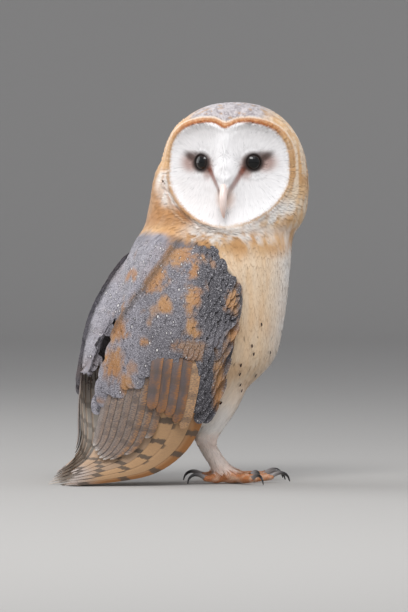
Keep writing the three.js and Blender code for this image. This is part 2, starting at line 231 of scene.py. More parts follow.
def placeCamera():
    a, e = math.radians(view["azimuth"]), math.radians(view["elevation"])
    right = np.array([math.cos(a), math.sin(a), 0])
    back = np.array([math.sin(a) * math.cos(e), -math.cos(a) * math.cos(e), math.sin(e)])
    aim = right * view["aside"] + np.array([0, 0, view["height"]])
    data = bpy.data.cameras.new("camera")
    data.sensor_width = view["sensor"]
    data.lens = view["sensor"] * view["distance"] / (view["millimetresPerPixel"] * view["frameHeight"])
    data.clip_start, data.clip_end = 0.1, 50
    camera = bpy.data.objects.new("camera", data)
    scene.collection.objects.link(camera)
    camera.location = toScene(aim + back * view["distance"])
    camera.rotation_mode = "QUATERNION"
    camera.rotation_quaternion = Vector(-back).to_track_quat("-Z", "Y")
    scene.camera = camera
    return right, back


studio = {
    "paper": "#a8a6a3",
    "sky": "#f7f9ff",
    "skyStrength": 0.62,
    "exposure": 0.0,
    "aim": (0, 0, 150),            # where the lamps point
    "lamps": {                     # towards the camera, right and up; the two sides in metres; watts
        "key": ((900, 150, 1400), (1.8, 0.8), 5.0),
        "spark": ((1250, -100, 1500), (0.9, 0.6), 21.5),
        "fill": ((-500, -1500, 700), (1.8, 1.4), 20.0),
    },
    "sweepHalfWidth": 9000,
    "sweepFront": -6000,           # the paper starts here, on the camera's side of the owl
    "sweepBack": 5800,             # and stands upright here
    "sweepBend": 1500,
    "sweepHeight": 7000,
}


def addLamp(name, place, size, power):
    data = bpy.data.lights.new(name, "AREA")
    data.shape = "RECTANGLE"
    data.size, data.size_y = size
    data.energy = power
    lamp = bpy.data.objects.new(name, data)
    scene.collection.objects.link(lamp)
    lamp.location = toScene(place)
    lamp.rotation_mode = "QUATERNION"
    lamp.rotation_quaternion = Vector(np.array(studio["aim"], float) - place).to_track_quat("-Z", "Y")


def buildStudio(right, back):
    s = studio
    up = np.array([0, 0, 1])
    away = -back * np.array([1, 1, 0])
    bend = s["sweepBend"]
    flatEnd = s["sweepBack"] - bend
    profile = [(s["sweepFront"], 0), (flatEnd, 0)]
    for turn in np.linspace(0, math.pi / 2, 13)[1:]:
        profile.append((flatEnd + bend * math.sin(turn), bend - bend * math.cos(turn)))
    profile.append((s["sweepBack"], s["sweepHeight"]))
    points = [right * side * s["sweepHalfWidth"] + away * d + up * h for d, h in profile for side in (-1, 1)]
    sweep = makeMesh("studio_sweep", np.array(points), gridFaces(len(profile), 2, flipped=True))
    sweep.data.materials.append(studioPaper())
    world = bpy.data.worlds.new("studio")
    world.use_nodes = True
    sky = world.node_tree.nodes["Background"]
    sky.inputs["Color"].default_value = rgba(s["sky"])
    sky.inputs["Strength"].default_value = s["skyStrength"]
    scene.world = world
    for name, ((near, aside, high), size, power) in s["lamps"].items():
        addLamp(name, back * near + right * aside + up * high, size, power)
    scene.view_settings.view_transform = "Standard"
    scene.view_settings.exposure = s["exposure"]


def addNode(tree, kind, settings=None, links=None):
    # a setting is the node's own or, by name or number, that of one of its inputs
    node = tree.nodes.new(kind)
    for key, value in (settings or {}).items():
        if isinstance(key, str) and hasattr(node, key):
            setattr(node, key, value)
        else:
            node.inputs[key].default_value = value
    for key, source in (links or {}).items():
        tree.links.new(source, node.inputs[key])
    return node


def newMaterial(name):
    material = bpy.data.materials.new(name)
    material.use_nodes = True
    material.node_tree.nodes.clear()
    return material, material.node_tree


def finishMaterial(material, settings, links=None):
    shader = addNode(material.node_tree, "ShaderNodeBsdfPrincipled", settings, links)
    addNode(material.node_tree, "ShaderNodeOutputMaterial", {}, {"Surface": shader.outputs[0]})
    return material


def studioPaper():
    # matt paper sweep: no gloss, only soft shadows
    material, _ = newMaterial("matt_paper_sweep")
    return finishMaterial(material, {"Base Color": rgba(studio["paper"]), "Roughness": 0.9})


downLook = {
    "bodyBarbMm": 0.45455,         # from one parting of the barbs to the next
    "bodyParting": 0.12,           # how much darker the partings are
    "faceBarbMm": 0.33333,
    "faceParting": 0.05,
    "roughness": 0.82,
    "sheen": 0.25,
    "specular": 0.25,
    "bump": 0.12,
}


def downFeather(name, barbMm, parting):
    # body feather: matt keratin barbs that part into fine lines, with a soft bloom at grazing angles
    look = downLook
    material, tree = newMaterial(name)
    coat = addNode(tree, "ShaderNodeAttribute", {"attribute_name": "coat"})
    vane = addNode(tree, "ShaderNodeAttribute", {"attribute_name": "vane"})
    # the lines run along the feather, and the third number gives each feather its own
    lines = addNode(tree, "ShaderNodeVectorMath", {"operation": "MULTIPLY", 1: (1 / barbMm, 0.16, 37.0)},
                    {0: vane.outputs["Vector"]})
    barbs = addNode(tree, "ShaderNodeTexNoise", {"Scale": 1.0, "Detail": 2.0, "Roughness": 0.6},
                    {"Vector": lines.outputs[0]})
    shade = addNode(tree, "ShaderNodeMapRange",
                    {"From Min": 0.3, "From Max": 0.7, "To Min": 1 - parting, "To Max": 1.0},
                    {"Value": barbs.outputs["Fac"]})
    colour = addNode(tree, "ShaderNodeVectorMath", {"operation": "SCALE"},
                     {0: coat.outputs["Color"], "Scale": shade.outputs[0]})
    bump = addNode(tree, "ShaderNodeBump", {"Strength": look["bump"], "Distance": 0.0004},
                   {"Height": barbs.outputs["Fac"]})
    return finishMaterial(
        material,
        {"Roughness": look["roughness"], "Sheen Weight": look["sheen"],
         "Specular IOR Level": look["specular"]},
        {"Base Color": colour.outputs[0], "Normal": bump.outputs[0]})


upperLook = {
    "speckMm": 0.9,                # the flecks are finer in life, and coarser here so that they show
    "dark": "#39373b",
    "pale": "#b9b6ba",
    "ring": "#262427",             # round each pearl
    "pearl": "#e2dedc",
    "roughness": 0.7,
    "sheen": 0.15,
    "specular": 0.3,
    "bump": 0.15,
}


def speckledFeather(name):
    # covert: smooth closed vane, peppered dark and pale over grey or rust, with a white pearl at the tip
    look = upperLook
    material, tree = newMaterial(name)
    coat = addNode(tree, "ShaderNodeAttribute", {"attribute_name": "coat"})
    vane = addNode(tree, "ShaderNodeAttribute", {"attribute_name": "vane"})
    # x is the distance from the pearl's middle over its radius, y the pearl's strength, z the pepper's
    spot = addNode(tree, "ShaderNodeAttribute", {"attribute_name": "spot"})
    parts = addNode(tree, "ShaderNodeSeparateXYZ", {}, {0: spot.outputs["Vector"]})
    fleck = addNode(tree, "ShaderNodeVectorMath", {"operation": "MULTIPLY", 1: (1.0, 1.7, 61.0)},
                    {0: vane.outputs["Vector"]})
    pepper = addNode(tree, "ShaderNodeTexNoise",
                     {"Scale": 1 / look["speckMm"], "Detail": 2.0, "Roughness": 0.75},
                     {"Vector": fleck.outputs[0]})
    # each mark goes over the last: what it is drawn from, where it starts and is full, how strong it is
    marks = {
        "dark": (pepper.outputs["Fac"], 0.47, 0.36, 1.0, parts.outputs["Z"]),
        "pale": (pepper.outputs["Fac"], 0.55, 0.68, 1.0, parts.outputs["Z"]),
        "ring": (parts.outputs["X"], 1.9, 1.3, 0.8, parts.outputs["Y"]),
        "pearl": (parts.outputs["X"], 1.05, 0.75, 1.0, parts.outputs["Y"]),
    }
    colour = coat.outputs["Color"]
    for mark, (source, start, full, most, strength) in marks.items():
        shape = addNode(tree, "ShaderNodeMapRange", {"From Min": start, "From Max": full, "To Max": most},
                        {"Value": source})
        share = addNode(tree, "ShaderNodeMath", {"operation": "MULTIPLY"}, {0: shape.outputs[0], 1: strength})
        marked = addNode(tree, "ShaderNodeMix", {"data_type": "RGBA", 7: rgba(look[mark])},
                         {0: share.outputs[0], 6: colour})
        colour = marked.outputs[2]
    bump = addNode(tree, "ShaderNodeBump", {"Strength": look["bump"], "Distance": 0.0003},
                   {"Height": pepper.outputs["Fac"]})
    return finishMaterial(
        material,
        {"Roughness": look["roughness"], "Sheen Weight": look["sheen"],
         "Specular IOR Level": look["specular"]},
        {"Base Color": colour, "Normal": bump.outputs[0]})


flightLook = {
    "bar": "#5f5348",
    "pepper": "#5d5556",
    "barbMm": 0.7,                 # drawn coarser than in life, so that it shows
    "roughness": 0.6,
    "specular": 0.35,
    "bump": 0.2,
}


def flightFeather(name):
    # flight feather: zipped barbs give a smooth silky vane with fine slanting lines and dark bars
    look = flightLook
    material, tree = newMaterial(name)
    coat = addNode(tree, "ShaderNodeAttribute", {"attribute_name": "coat"})
    vane = addNode(tree, "ShaderNodeAttribute", {"attribute_name": "vane"})
    # x counts the bars along the feather, y is their strength and z the pepper's
    bars = addNode(tree, "ShaderNodeAttribute", {"attribute_name": "spot"})
    parts = addNode(tree, "ShaderNodeSeparateXYZ", {}, {0: bars.outputs["Vector"]})
    wobble = addNode(tree, "ShaderNodeTexNoise", {"Scale": 0.45, "Detail": 3.0, "Roughness": 0.65},
                     {"Vector": vane.outputs["Vector"]})
    place = addNode(tree, "ShaderNodeMath", {"operation": "MULTIPLY_ADD", 1: 0.26},
                    {0: wobble.outputs["Fac"], 2: parts.outputs["X"]})
    turn = addNode(tree, "ShaderNodeMath", {"operation": "PINGPONG", 1: 0.5}, {0: place.outputs[0]})
    bar = addNode(tree, "ShaderNodeMapRange", {"From Min": 0.34, "From Max": 0.4}, {"Value": turn.outputs[0]})
    barShare = addNode(tree, "ShaderNodeMath", {"operation": "MULTIPLY"},
                       {0: bar.outputs[0], 1: parts.outputs["Y"]})
    barred = addNode(tree, "ShaderNodeMix", {"data_type": "RGBA", 7: rgba(look["bar"])},
                     {0: barShare.outputs[0], 6: coat.outputs["Color"]})
    barbs = addNode(tree, "ShaderNodeVectorMath", {"operation": "MULTIPLY", 1: (0.35, 1.6, 11.0)},
                    {0: vane.outputs["Vector"]})
    grain = addNode(tree, "ShaderNodeTexNoise", {"Scale": 1 / look["barbMm"], "Detail": 2.0},
                    {"Vector": barbs.outputs[0]})
    pepper = addNode(tree, "ShaderNodeMapRange", {"From Min": 0.42, "From Max": 0.6},
                     {"Value": grain.outputs["Fac"]})
    pepperShare = addNode(tree, "ShaderNodeMath", {"operation": "MULTIPLY"},
                          {0: pepper.outputs[0], 1: parts.outputs["Z"]})
    peppered = addNode(tree, "ShaderNodeMix", {"data_type": "RGBA", 7: rgba(look["pepper"])},
                       {0: pepperShare.outputs[0], 6: barred.outputs[2]})
    bump = addNode(tree, "ShaderNodeBump", {"Strength": look["bump"], "Distance": 0.0003},
                   {"Height": grain.outputs["Fac"]})
    return finishMaterial(
        material,
        {"Roughness": look["roughness"], "Specular IOR Level": look["specular"]},
        {"Base Color": peppered.outputs[2], "Normal": bump.outputs[0]})


skinLook = {"poreMm": 1.11111, "roughness": 0.85}


def bareSkin(name):
    # skin under the coat: dull and faintly pored, in the colours of the feathers that grow from it
    material, tree = newMaterial(name)
    coat = addNode(tree, "ShaderNodeAttribute", {"attribute_name": "coat"})
    place = addNode(tree, "ShaderNodeTexCoord")
    pores = addNode(tree, "ShaderNodeTexNoise", {"Scale": 1000 / skinLook["poreMm"], "Detail": 2.0},
                    {"Vector": place.outputs["Object"]})
    shade = addNode(tree, "ShaderNodeMapRange", {"To Min": 0.75, "To Max": 1.0},
                    {"Value": pores.outputs["Fac"]})
    colour = addNode(tree, "ShaderNodeVectorMath", {"operation": "SCALE"},
                     {0: coat.outputs["Color"], "Scale": shade.outputs[0]})
    return finishMaterial(material, {"Roughness": skinLook["roughness"]}, {"Base Color": colour.outputs[0]})


toeLook = {
    "scaleMm": 1.17647,
    "roughness": 0.55,
    "subsurface": 0.15,
    "subsurfaceMm": 1.0,
    "bump": 0.5,
}


def toeSkin(name):
    # toes: plump bare skin in small raised scales, faintly waxy
    look = toeLook
    material, tree = newMaterial(name)
    coat = addNode(tree, "ShaderNodeAttribute", {"attribute_name": "coat"})
    place = addNode(tree, "ShaderNodeTexCoord")
    scales = addNode(tree, "ShaderNodeTexVoronoi", {"Scale": 1000 / look["scaleMm"]},
                     {"Vector": place.outputs["Object"]})
    shade = addNode(tree, "ShaderNodeMapRange", {"From Max": 0.7, "To Min": 1.0, "To Max": 0.72},
                    {"Value": scales.outputs["Distance"]})
    colour = addNode(tree, "ShaderNodeVectorMath", {"operation": "SCALE"},
                     {0: coat.outputs["Color"], "Scale": shade.outputs[0]})
    bump = addNode(tree, "ShaderNodeBump", {"Strength": look["bump"], "Distance": 0.0004, "invert": True},
                   {"Height": scales.outputs["Distance"]})
    return finishMaterial(
        material,
        {"Roughness": look["roughness"], "Subsurface Weight": look["subsurface"],
         "Subsurface Scale": look["subsurfaceMm"] / 1000},
        {"Base Color": colour.outputs[0], "Normal": bump.outputs[0]})


def horn(name, roughness):
    # claw or bill: worn layered keratin, smoother than it is shiny, with faint lengthwise growth lines
    material, tree = newMaterial(name)
    coat = addNode(tree, "ShaderNodeAttribute", {"attribute_name": "coat"})
    vane = addNode(tree, "ShaderNodeAttribute", {"attribute_name": "vane"})
    lines = addNode(tree, "ShaderNodeTexNoise", {"Scale": 1.4, "Detail": 2.0},
                    {"Vector": vane.outputs["Vector"]})
    shade = addNode(tree, "ShaderNodeMapRange", {"To Min": 0.8, "To Max": 1.1},
                    {"Value": lines.outputs["Fac"]})
    colour = addNode(tree, "ShaderNodeVectorMath", {"operation": "SCALE"},
                     {0: coat.outputs["Color"], "Scale": shade.outputs[0]})
    bump = addNode(tree, "ShaderNodeBump", {"Strength": 0.15, "Distance": 0.0002},
                   {"Height": lines.outputs["Fac"]})
    return finishMaterial(material, {"Roughness": roughness, "Coat Weight": 0.3},
                          {"Base Color": colour.outputs[0], "Normal": bump.outputs[0]})


def wetEye(name):
    # eyeball: very dark brown iris round a wide pupil, under a wet clear cornea
    material, tree = newMaterial(name)
    coat = addNode(tree, "ShaderNodeAttribute", {"attribute_name": "coat"})
    # the wet layer gives the highlight; tears and cornea bend light a little more than water
    return finishMaterial(
        material,
        {"Roughness": 0.35, "Specular IOR Level": 0.1, "Coat Weight": 1.0, "Coat Roughness": 0.02,
         "Coat IOR": 1.38, "IOR": 1.38},
        {"Base Color": coat.outputs["Color"]})
# Each wing has the same surface as its solids. Columns: place along it, leading edge x y z,
# trailing edge x y z, how far the wing bows out.
wingTable = np.array([
    [0.0, -26, -38, 171, -56, -15, 168, 7],
    [0.1, -18, -50, 153, -71, -9, 150, 18],
    [0.2, -16, -55, 131, -84, -5, 128, 24],
    [0.3, -20, -56, 110, -93, -4, 107, 26],
    [0.4, -26, -54, 86, -101, -4, 85, 24],
    [0.5, -32, -50, 62, -109, -5, 66, 20],
    [0.6, -40, -45, 40, -112, -6, 48, 16],
    [0.7, -54, -39, 21, -113, -7, 33, 12],
    [0.8, -76, -32, 7.5, -117, -8, 21, 8],
    [0.9, -105, -23, 2.4, -127, -8, 11.5, 5],
    [1.0, -141, -11, -0.4, -143, -7, 3.2, 1],
])


def wingRow(along):
    # cubic through the table's stations
    place = np.clip(along, 0, 1) * 10
    i = np.minimum(place.astype(int), 9)
    u = (place - i)[..., None]
    values = wingTable[:, 1:]
    before, here = values[np.maximum(i - 1, 0)], values[i]
    there, after = values[i + 1], values[np.minimum(i + 2, 10)]
    startSlope = np.where((i == 0)[..., None], there - here, (there - before) / 2)
    endSlope = np.where((i == 9)[..., None], there - here, (after - here) / 2)
    u2, u3 = u * u, u * u * u
    return (2 * u3 - 3 * u2 + 1) * here + (u3 - 2 * u2 + u) * startSlope \
        + (3 * u2 - 2 * u3) * there + (u3 - u2) * endSlope


def wingPoint(along, across, offset, side):
    # side is -1 for the right wing and 1 for the left
    along, across = np.asarray(along, float), np.asarray(across, float)
    here, before, after = wingRow(along), wingRow(along - 0.02), wingRow(along + 0.02)
    lead, chord = here[..., 0:3], here[..., 3:6] - here[..., 0:3]
    run = after[..., 0:3] - before[..., 0:3] + after[..., 3:6] - before[..., 3:6]
    out = unit(np.cross(chord, run))
    inside = np.clip(across, 0, 1)
    fullness = (4 * inside * (1 - inside)) ** 0.72
    point = lead + chord * across[..., None] + out * (here[..., 6] * fullness + offset)[..., None]
    return point * np.array([1, -side, 1])


# The markings are shared by skin and coat.
palette = {name: toLinear(value) for name, value in {
    "white": "#f3efea",
    "discWhite": "#eceaea",
    "cream": "#ecdcc6",
    "gold": "#dfb98c",
    "deepGold": "#c9965f",
    "amber": "#a9774a",
    "rimOrange": "#a3602f",
    "rimHalo": "#d09a66",
    "rimCream": "#f0e0cd",
    "rimTan": "#bf9364",
    "crownPale": "#c6c1c4",
    "crownDark": "#8b858a",
    "grey": "#625f64",
    "darkGrey": "#343338",
    "lilac": "#8f8c94",
    "rust": "#a06f44",
    "paleRust": "#b0875b",
    # painted shade along the groove over the right wing
    "grooveShade": "#4a3c30",
    "legWhite": "#f6ebe3",
    "legPink": "#ecd0c0",
    "toe": "#c9814f",
    "toePale": "#e3b596",
    "smudge": "#351d13",
    "blush": "#96604a",
    "tear": "#84452f",
}.items()}


# Rust patches on mantle and wings: across (back from the breast), height, half sizes.
rustPatches = [
    (-39, 163, 15, 8), (-56, 149, 11, 9), (-29, 133, 6, 9), (-27, 153, 3, 7), (-48, 129, 5, 6),
    (-81, 111, 7, 11), (-84, 88, 7, 12), (0, 130, 5, 8), (1, 106, 5, 6),
    (-28, 111, 5, 6), (-9, 72, 4, 20), (-76, 72, 5, 9), (-62, 103, 4, 3),
]
# Smaller ones on the lilac strip.
stripPatches = [(-80, 129, 4, 6), (-94, 113, 4, 7), (-70, 150, 2.5, 5)]


def wingAcross(points):
    # a body-fixed measure back along the closed wing from the breast, the same on both sides
    return 0.906 * points[:, 0] + 0.423 * np.abs(points[:, 1])


def grooveLine(high):
    # where, across, the scapulars lap over the folded wing
    return -43 + (high - 169) * 0.754


def patchShare(across, high, patches, ripple, full, end):
    # 1 inside the patches, 0 away from them
    share = np.zeros(len(across))
    for a, z, halfA, halfZ in patches:
        distance = np.hypot((across - a) / halfA, (high - z) / halfZ) + ripple
        share = np.maximum(share, 1 - ramp01(distance, full, end))
    return share


def upperColour(points):
    # grey, speckled rust and lilac of mantle and wing coverts, and how grey each place is
    across, high = wingAcross(points), points[:, 2]
    ripple = (mottle(points, 6, 3) - 0.5) * 0.9 + (mottle(points, 1.8, 31) - 0.5) * 0.7
    rust = patchShare(across, high, rustPatches, ripple, 0.6, 1.3)
    inner = ramp01(-across, 60, 72) * ramp01(high, 60, 80) * (points[:, 1] > -12)
    rust = np.maximum(rust * (1 - 0.8 * inner), 0.6 * ramp01(mottle(points, 8, 11), 0.72, 0.82))
    # the wing's front is darker at the shoulder and low down
    dark = ramp01(across, -34, -18) * ramp01(high, 106, 122) * (1 - rust)
    dark = np.maximum(dark, ramp01(across, -32, -20) * (1 - ramp01(high, 88, 100)) * 0.8)
    # a lilac strip lies behind the groove on the right wing, and over the back of the left one
    rightSide = 1 - ramp01(points[:, 1], 0, 8)
    behindGroove = grooveLine(high) - across
    strip = np.maximum(ramp01(behindGroove, 0, 4) * rightSide, 1 - rightSide)
    strip = strip * ramp01(high, 80, 95) * ramp01(-across, 38, 50)
    rust = rust * (1 - 0.9 * strip)
    rust = np.maximum(rust, 0.9 * patchShare(across, high, stripPatches, ripple, 0.5, 1.2))
    lilac = np.max([ramp01(-across, 52, 74), strip * 1.15, 0.35 * ramp01(high, 60, 150)], axis=0)
    grey = mix(palette["grey"], palette["lilac"], np.clip(lilac, 0, 1.1) * 0.9)
    grey = mix(grey, palette["darkGrey"], dark * 0.85)
    cloud = 0.72 + 0.34 * mottle(points, 4, 21) + 0.22 * mottle(points, 11, 23)
    rustTone = mix(palette["rust"], palette["paleRust"], mottle(points, 12, 5))
    colour = mix(grey * cloud[:, None], rustTone, rust)
    # painted shade: a soft dark line along the groove, where the scapulars lap over the folded right wing
    shade = np.exp(-(behindGroove / 3.0 + 0.4) ** 2) * ramp01(high, 88, 100) * rightSide
    return mix(colour, palette["grooveShade"], 0.7 * shade), 1 - 0.65 * rust


def softSpot(dy, dz, place, half, tilt=0.0):
    # 1 in the middle of an ellipse, fading to 0 a little outside it; the tilt is in degrees
    a, b = dy - place[0], dz - place[1]
    c, s = math.cos(math.radians(tilt)), math.sin(math.radians(tilt))
    return 1 - ramp01(np.hypot((a * c + b * s) / half[0], (b * c - a * s) / half[1]), 0.35, 1.25)


# Dark lashes round the eye: place outwards and up from its middle, half sizes, tilt, strength.
lashSpots = [
    ((7.4, 3.8), (8.0, 3.6), 28, 0.95),
    ((2.5, 5.2), (6.5, 2.6), 16, 0.8),
    ((-5.8, -2.0), (2.0, 6.0), 8, 0.8),
]


def discColour(y, z, tone):
    # white, with dark lashes round the eyes and rusty streaks from them to the bill
    colour = np.broadcast_to(palette["discWhite"], (len(y), 3)).copy()
    for aside in (-1, 1):
        # outwards and upwards from the middle of the eye's opening
        dy = (y - aside * 19.0) * aside
        dz = z + headShape["eyeDrop"] + 0.2
        blush = np.maximum(softSpot(dy, dz, (8.0, 0.0), (9.5, 8)), softSpot(dy, dz, (-5.0, -4), (5, 9)))
        colour = mix(colour, palette["blush"], blush * 0.68)
        down = np.clip((-4 - dz) / 17, 0, 1)
        slide = np.abs(dy + 6.2 + 9.0 * down)
        tear = (1 - ramp01(slide, 0.8, 3.4 - 1.2 * down)) * ramp01(-dz, 1, 5) * (1 - ramp01(-dz, 19, 25))
        colour = mix(colour, palette["tear"], tear * (0.95 - 0.4 * down))
        dark = 1 - ramp01(np.hypot(dy, dz), 6.0, 9.2)
        for place, half, tilt, strength in lashSpots:
            dark = np.maximum(dark, softSpot(dy, dz, place, half, tilt) * strength)
        colour = mix(colour, palette["smudge"], dark * (0.75 + 0.25 * tone))
    # the skin shows pink through the thin feathers beside the bill
    pink = softSpot(y, z, (0, -27), (7.5, 9))
    return mix(colour, palette["legPink"], pink * 0.75)


# How far forward the edge of the face is, by the angle round it; set once the skin is there.
rimFront = {"turn": np.array([-180.0, 180.0]), "depth": np.array([26.0, 26.0])}


def headColour(points):
    local = toHead(points)
    x, y, z = local.T
    rim = heartRim(y, z)
    turn = np.degrees(np.arctan2(y, z - headShape["discMiddle"]))
    behind = np.clip(np.interp(turn, rimFront["turn"], rimFront["depth"]) - 1 - x, 0, 30)
    rim = rim + np.where(rim > 1.0, behind * 0.014, 0)
    inDisc = (1 - ramp01(rim, 0.985, 1.012)) * (x > 5)
    side = np.abs(y)
    streak = mottle(points * np.array([1, 1, 0.2]), 2.6, 2)
    deeper = ramp01(mottle(points, 9, 2), 0.3, 0.8) * 0.6 + 0.3 * ramp01(-y, 5, 30)
    outside = mix(palette["gold"], palette["deepGold"], deeper)
    outside = mix(outside, palette["cream"], ramp01(streak, 0.35, 0.8) * (0.3 + 0.5 * ramp01(y, 10, 35)))
    outside = mix(outside, palette["amber"], 0.7 * ramp01(-y, 5, 30) * ramp01(-z, -2, 26))
    # white fringe below and beside the face
    lock = mottle(points * np.array([1, 1, 0.3]), 3.4, 15)
    below = ramp01(-z, 24, 34) * (1 - ramp01(rim + 0.4 * (lock - 0.5), 1.16, 1.36)) * (1 - ramp01(-y, 16, 30))
    patch = (1 - ramp01(np.abs(z + 20), 9, 17)) * ramp01(-y, 30, 36) * (1 - ramp01(rim, 1.14, 1.34))
    fringe = np.maximum(below, 0.85 * patch) * ramp01(x, -14, 8)
    outside = mix(outside, palette["white"], fringe * (0.5 + 0.5 * ramp01(streak, 0.3, 0.6)))
    # grey crown and nape, finely speckled, with a few orange flecks
    crown = ramp01(z, 18, 27) * (1 - ramp01(side + 5 * streak, 24, 37))
    nape = ramp01(-x, 8, 26) * (1 - ramp01(side + 5 * streak, 22, 36))
    speck = mottle(points, 1.3, 9)
    greyTone = mix(palette["crownDark"], palette["crownPale"], 0.15 + 0.85 * ramp01(speck, 0.26, 0.6))
    fleck = ramp01(mottle(points, 3.2, 14), 0.66, 0.78)
    greyTone = mix(greyTone, palette["paleRust"], fleck * 0.7)
    outside = mix(outside, greyTone, np.maximum(crown, nape) * 0.95)
    # the rim: orange over the brow, thin and tan lower down, with a pale line outside it
    brow = ramp01(z, 14, 27)
    front = x > 2
    halo = (1 - ramp01(rim, 1.1, 1.2)) * brow * front
    outside = mix(outside, palette["rimHalo"], halo * 0.85)
    edge = mottle(points, 1.5, 5) * 0.012
    line = (1 - ramp01(np.abs(rim - 1.16 + edge), 0.01, 0.03)) * front
    outside = mix(outside, palette["rimCream"], line * (0.2 + 0.6 * ramp01(z, -2, 14)))
    band = (1 - ramp01(np.abs(rim - 1.03 + edge), 0.014 + 0.012 * brow, 0.028 + 0.016 * brow)) * front
    bandTone = mix(palette["rimTan"], palette["rimOrange"], brow)
    outside = mix(outside, bandTone, band * (0.75 + 0.25 * brow))
    second = (1 - ramp01(np.abs(rim - 1.095 + edge), 0.006, 0.018)) * front
    outside = mix(outside, palette["rimOrange"], second * (0.25 + 0.35 * brow))
    return mix(outside, discColour(y, z, mottle(points, 1.5, 7)), inDisc)


def neckColour(points):
    local = toHead(points)
    streak = mottle(points * np.array([1, 1, 0.2]), 3.0, 4)
    golden = mix(palette["gold"], palette["deepGold"], 0.35 + ramp01(mottle(points, 14, 4), 0.3, 0.8) * 0.5)
    golden = mix(golden, palette["cream"], ramp01(streak, 0.5, 0.85) * 0.3)
    # the owl's front pales towards the breast; white shaggy feathers hang under the face
    golden = mix(golden, palette["white"], ramp01(points[:, 0], 8, 40) * ramp01(streak, 0.2, 0.6) * 0.75)
    underFace = ramp01(local[:, 0], 2, 22) * (1 - ramp01(np.abs(local[:, 1] - 4), 20, 40))
    chin = underFace * ramp01(points[:, 2] + 14 * (streak - 0.5), 171, 182)
    # painted shade: the neck darkens under the overhanging face
    shade = 1 - 0.2 * underFace * ramp01(points[:, 2], 150, 170)
    return mix(golden, palette["white"], chin * 0.85) * shade[:, None]


dotSpacing = 9.0                   # mm between the dark dots on flank and belly
dotRadius = 1.0


def bellyColour(points):
    x, _, z = points.T
    streak = mottle(points * np.array([1, 1, 0.2]), 3.0, 4)
    golden = mix(palette["gold"], palette["cream"], 0.25 + 0.45 * streak)
    golden = mix(golden, palette["deepGold"], 0.35 * ramp01(mottle(points, 14, 4), 0.5, 0.9))
    paleFront = ramp01(x, 0, 34) * 0.9
    paleLow = ramp01(-z, -80, -42) * 0.9
    pale = np.maximum(paleFront, paleLow) * (0.75 + 0.45 * mottle(points, 9, 8))
    colour = mix(golden, palette["white"], np.clip(pale, 0, 1))
    # one dot at most in each cell of a loose grid, moved about in it by a number of the cell's own
    cell = np.floor(points / dotSpacing)
    jitter = np.sin(cell @ np.array([12.9898, 78.233, 37.719])) * 43758.5453
    jitter = jitter - np.floor(jitter)
    centre = (cell + 0.5 + (jitter[:, None] - 0.5) * 0.5) * dotSpacing
    dot = (np.linalg.norm(points - centre, axis=1) < dotRadius) & (jitter > 0.4) & (z < 112)
    return mix(colour, palette["smudge"], dot * 0.8)


def legColour(points):
    z = points[:, 2]
    pinkness = 0.6 * mottle(points, 4, 12) + 0.3 * (1 - ramp01(z, 10, 24))
    pink = mix(palette["legWhite"], palette["legPink"], pinkness)
    tone = mix(palette["toe"], palette["toePale"], ramp01(mottle(points, 3, 6), 0.4, 0.8))
    toe = 1 - ramp01(z + 2 * mottle(points, 3, 2), 8.5, 12)
    return mix(pink, tone, toe)
    tone = mix(palette["toe"], palette["toePale"], ramp01(mottle(points, 3, 6), 0.4, 0.8))
    return mix(pink, tone, toe)


def mantleLevel(points):
    # where the golden neck gives way to the grey mantle: lower towards the breast
    across = wingAcross(points)
    level = 181 - 0.26 * np.clip(across + 62, 0, 46) - 1.25 * np.clip(across + 16, 0, 45)
    return level + 5 * (mottle(points, 5, 31) - 0.5)


# Heights in mm where each part starts and is full; the legs reach down from theirs.
bodyHeights = {"leg": (33, 39), "neck": (158, 170), "head": (180, 188)}


def bodyZones(points, wingNearness):
    # how far each point belongs to the head, the neck, the grey upper side and the legs
    x, _, z = points.T
    head = ramp01(z, *bodyHeights["head"])
    leg = 1 - ramp01(z, *bodyHeights["leg"])
    back = ramp01(-x, 34, 44) * ramp01(z, 40, 60)
    upper = np.maximum(wingNearness, back) * (1 - ramp01(z - mantleLevel(points), -3, 3))
    neck = ramp01(z, *bodyHeights["neck"])
    return head, neck, upper, leg


def coatColour(points, wingNearness):
    head, neck, upper, leg = bodyZones(points, wingNearness)
    colour = mix(bellyColour(points), neckColour(points), neck)
    above, greyness = upperColour(points)
    colour = mix(colour, above, upper)
    colour = mix(colour, headColour(points), head)
    colour = mix(colour, legColour(points), leg)
    return colour, upper, greyness


# One skin covers all the flesh and lies inside it by the depth of the coat.
skinShape = {
    "voxel": 1.4,
    "overlap": 0.35,               # each solid grows by this first, to close the thin cuts
    "bodyDepth": 1.7,
    "headDepth": 1.5,
    "discDepth": 1.0,
    "legDepth": 1.4,
    "toeDepth": 0.15,
    "wingDepth": 0.9,
    "brinkDepth": 2.0,             # more, where the coverts bend sharply away
    "smoothSteps": 36,
    "crease": (0.012, 0.05),       # bend between neighbours where a crease starts and is full, in mm
}
billPlugShape = {
    "centre": (38.6, 0, -18.5),    # from between the ears
    "halfLength": 11.5,
    "radius": 5.4,
    "lean": (0.5, 0.86),           # how far it leans forward and stands up, as shares
    "rings": 12,
    "columns": 20,
}


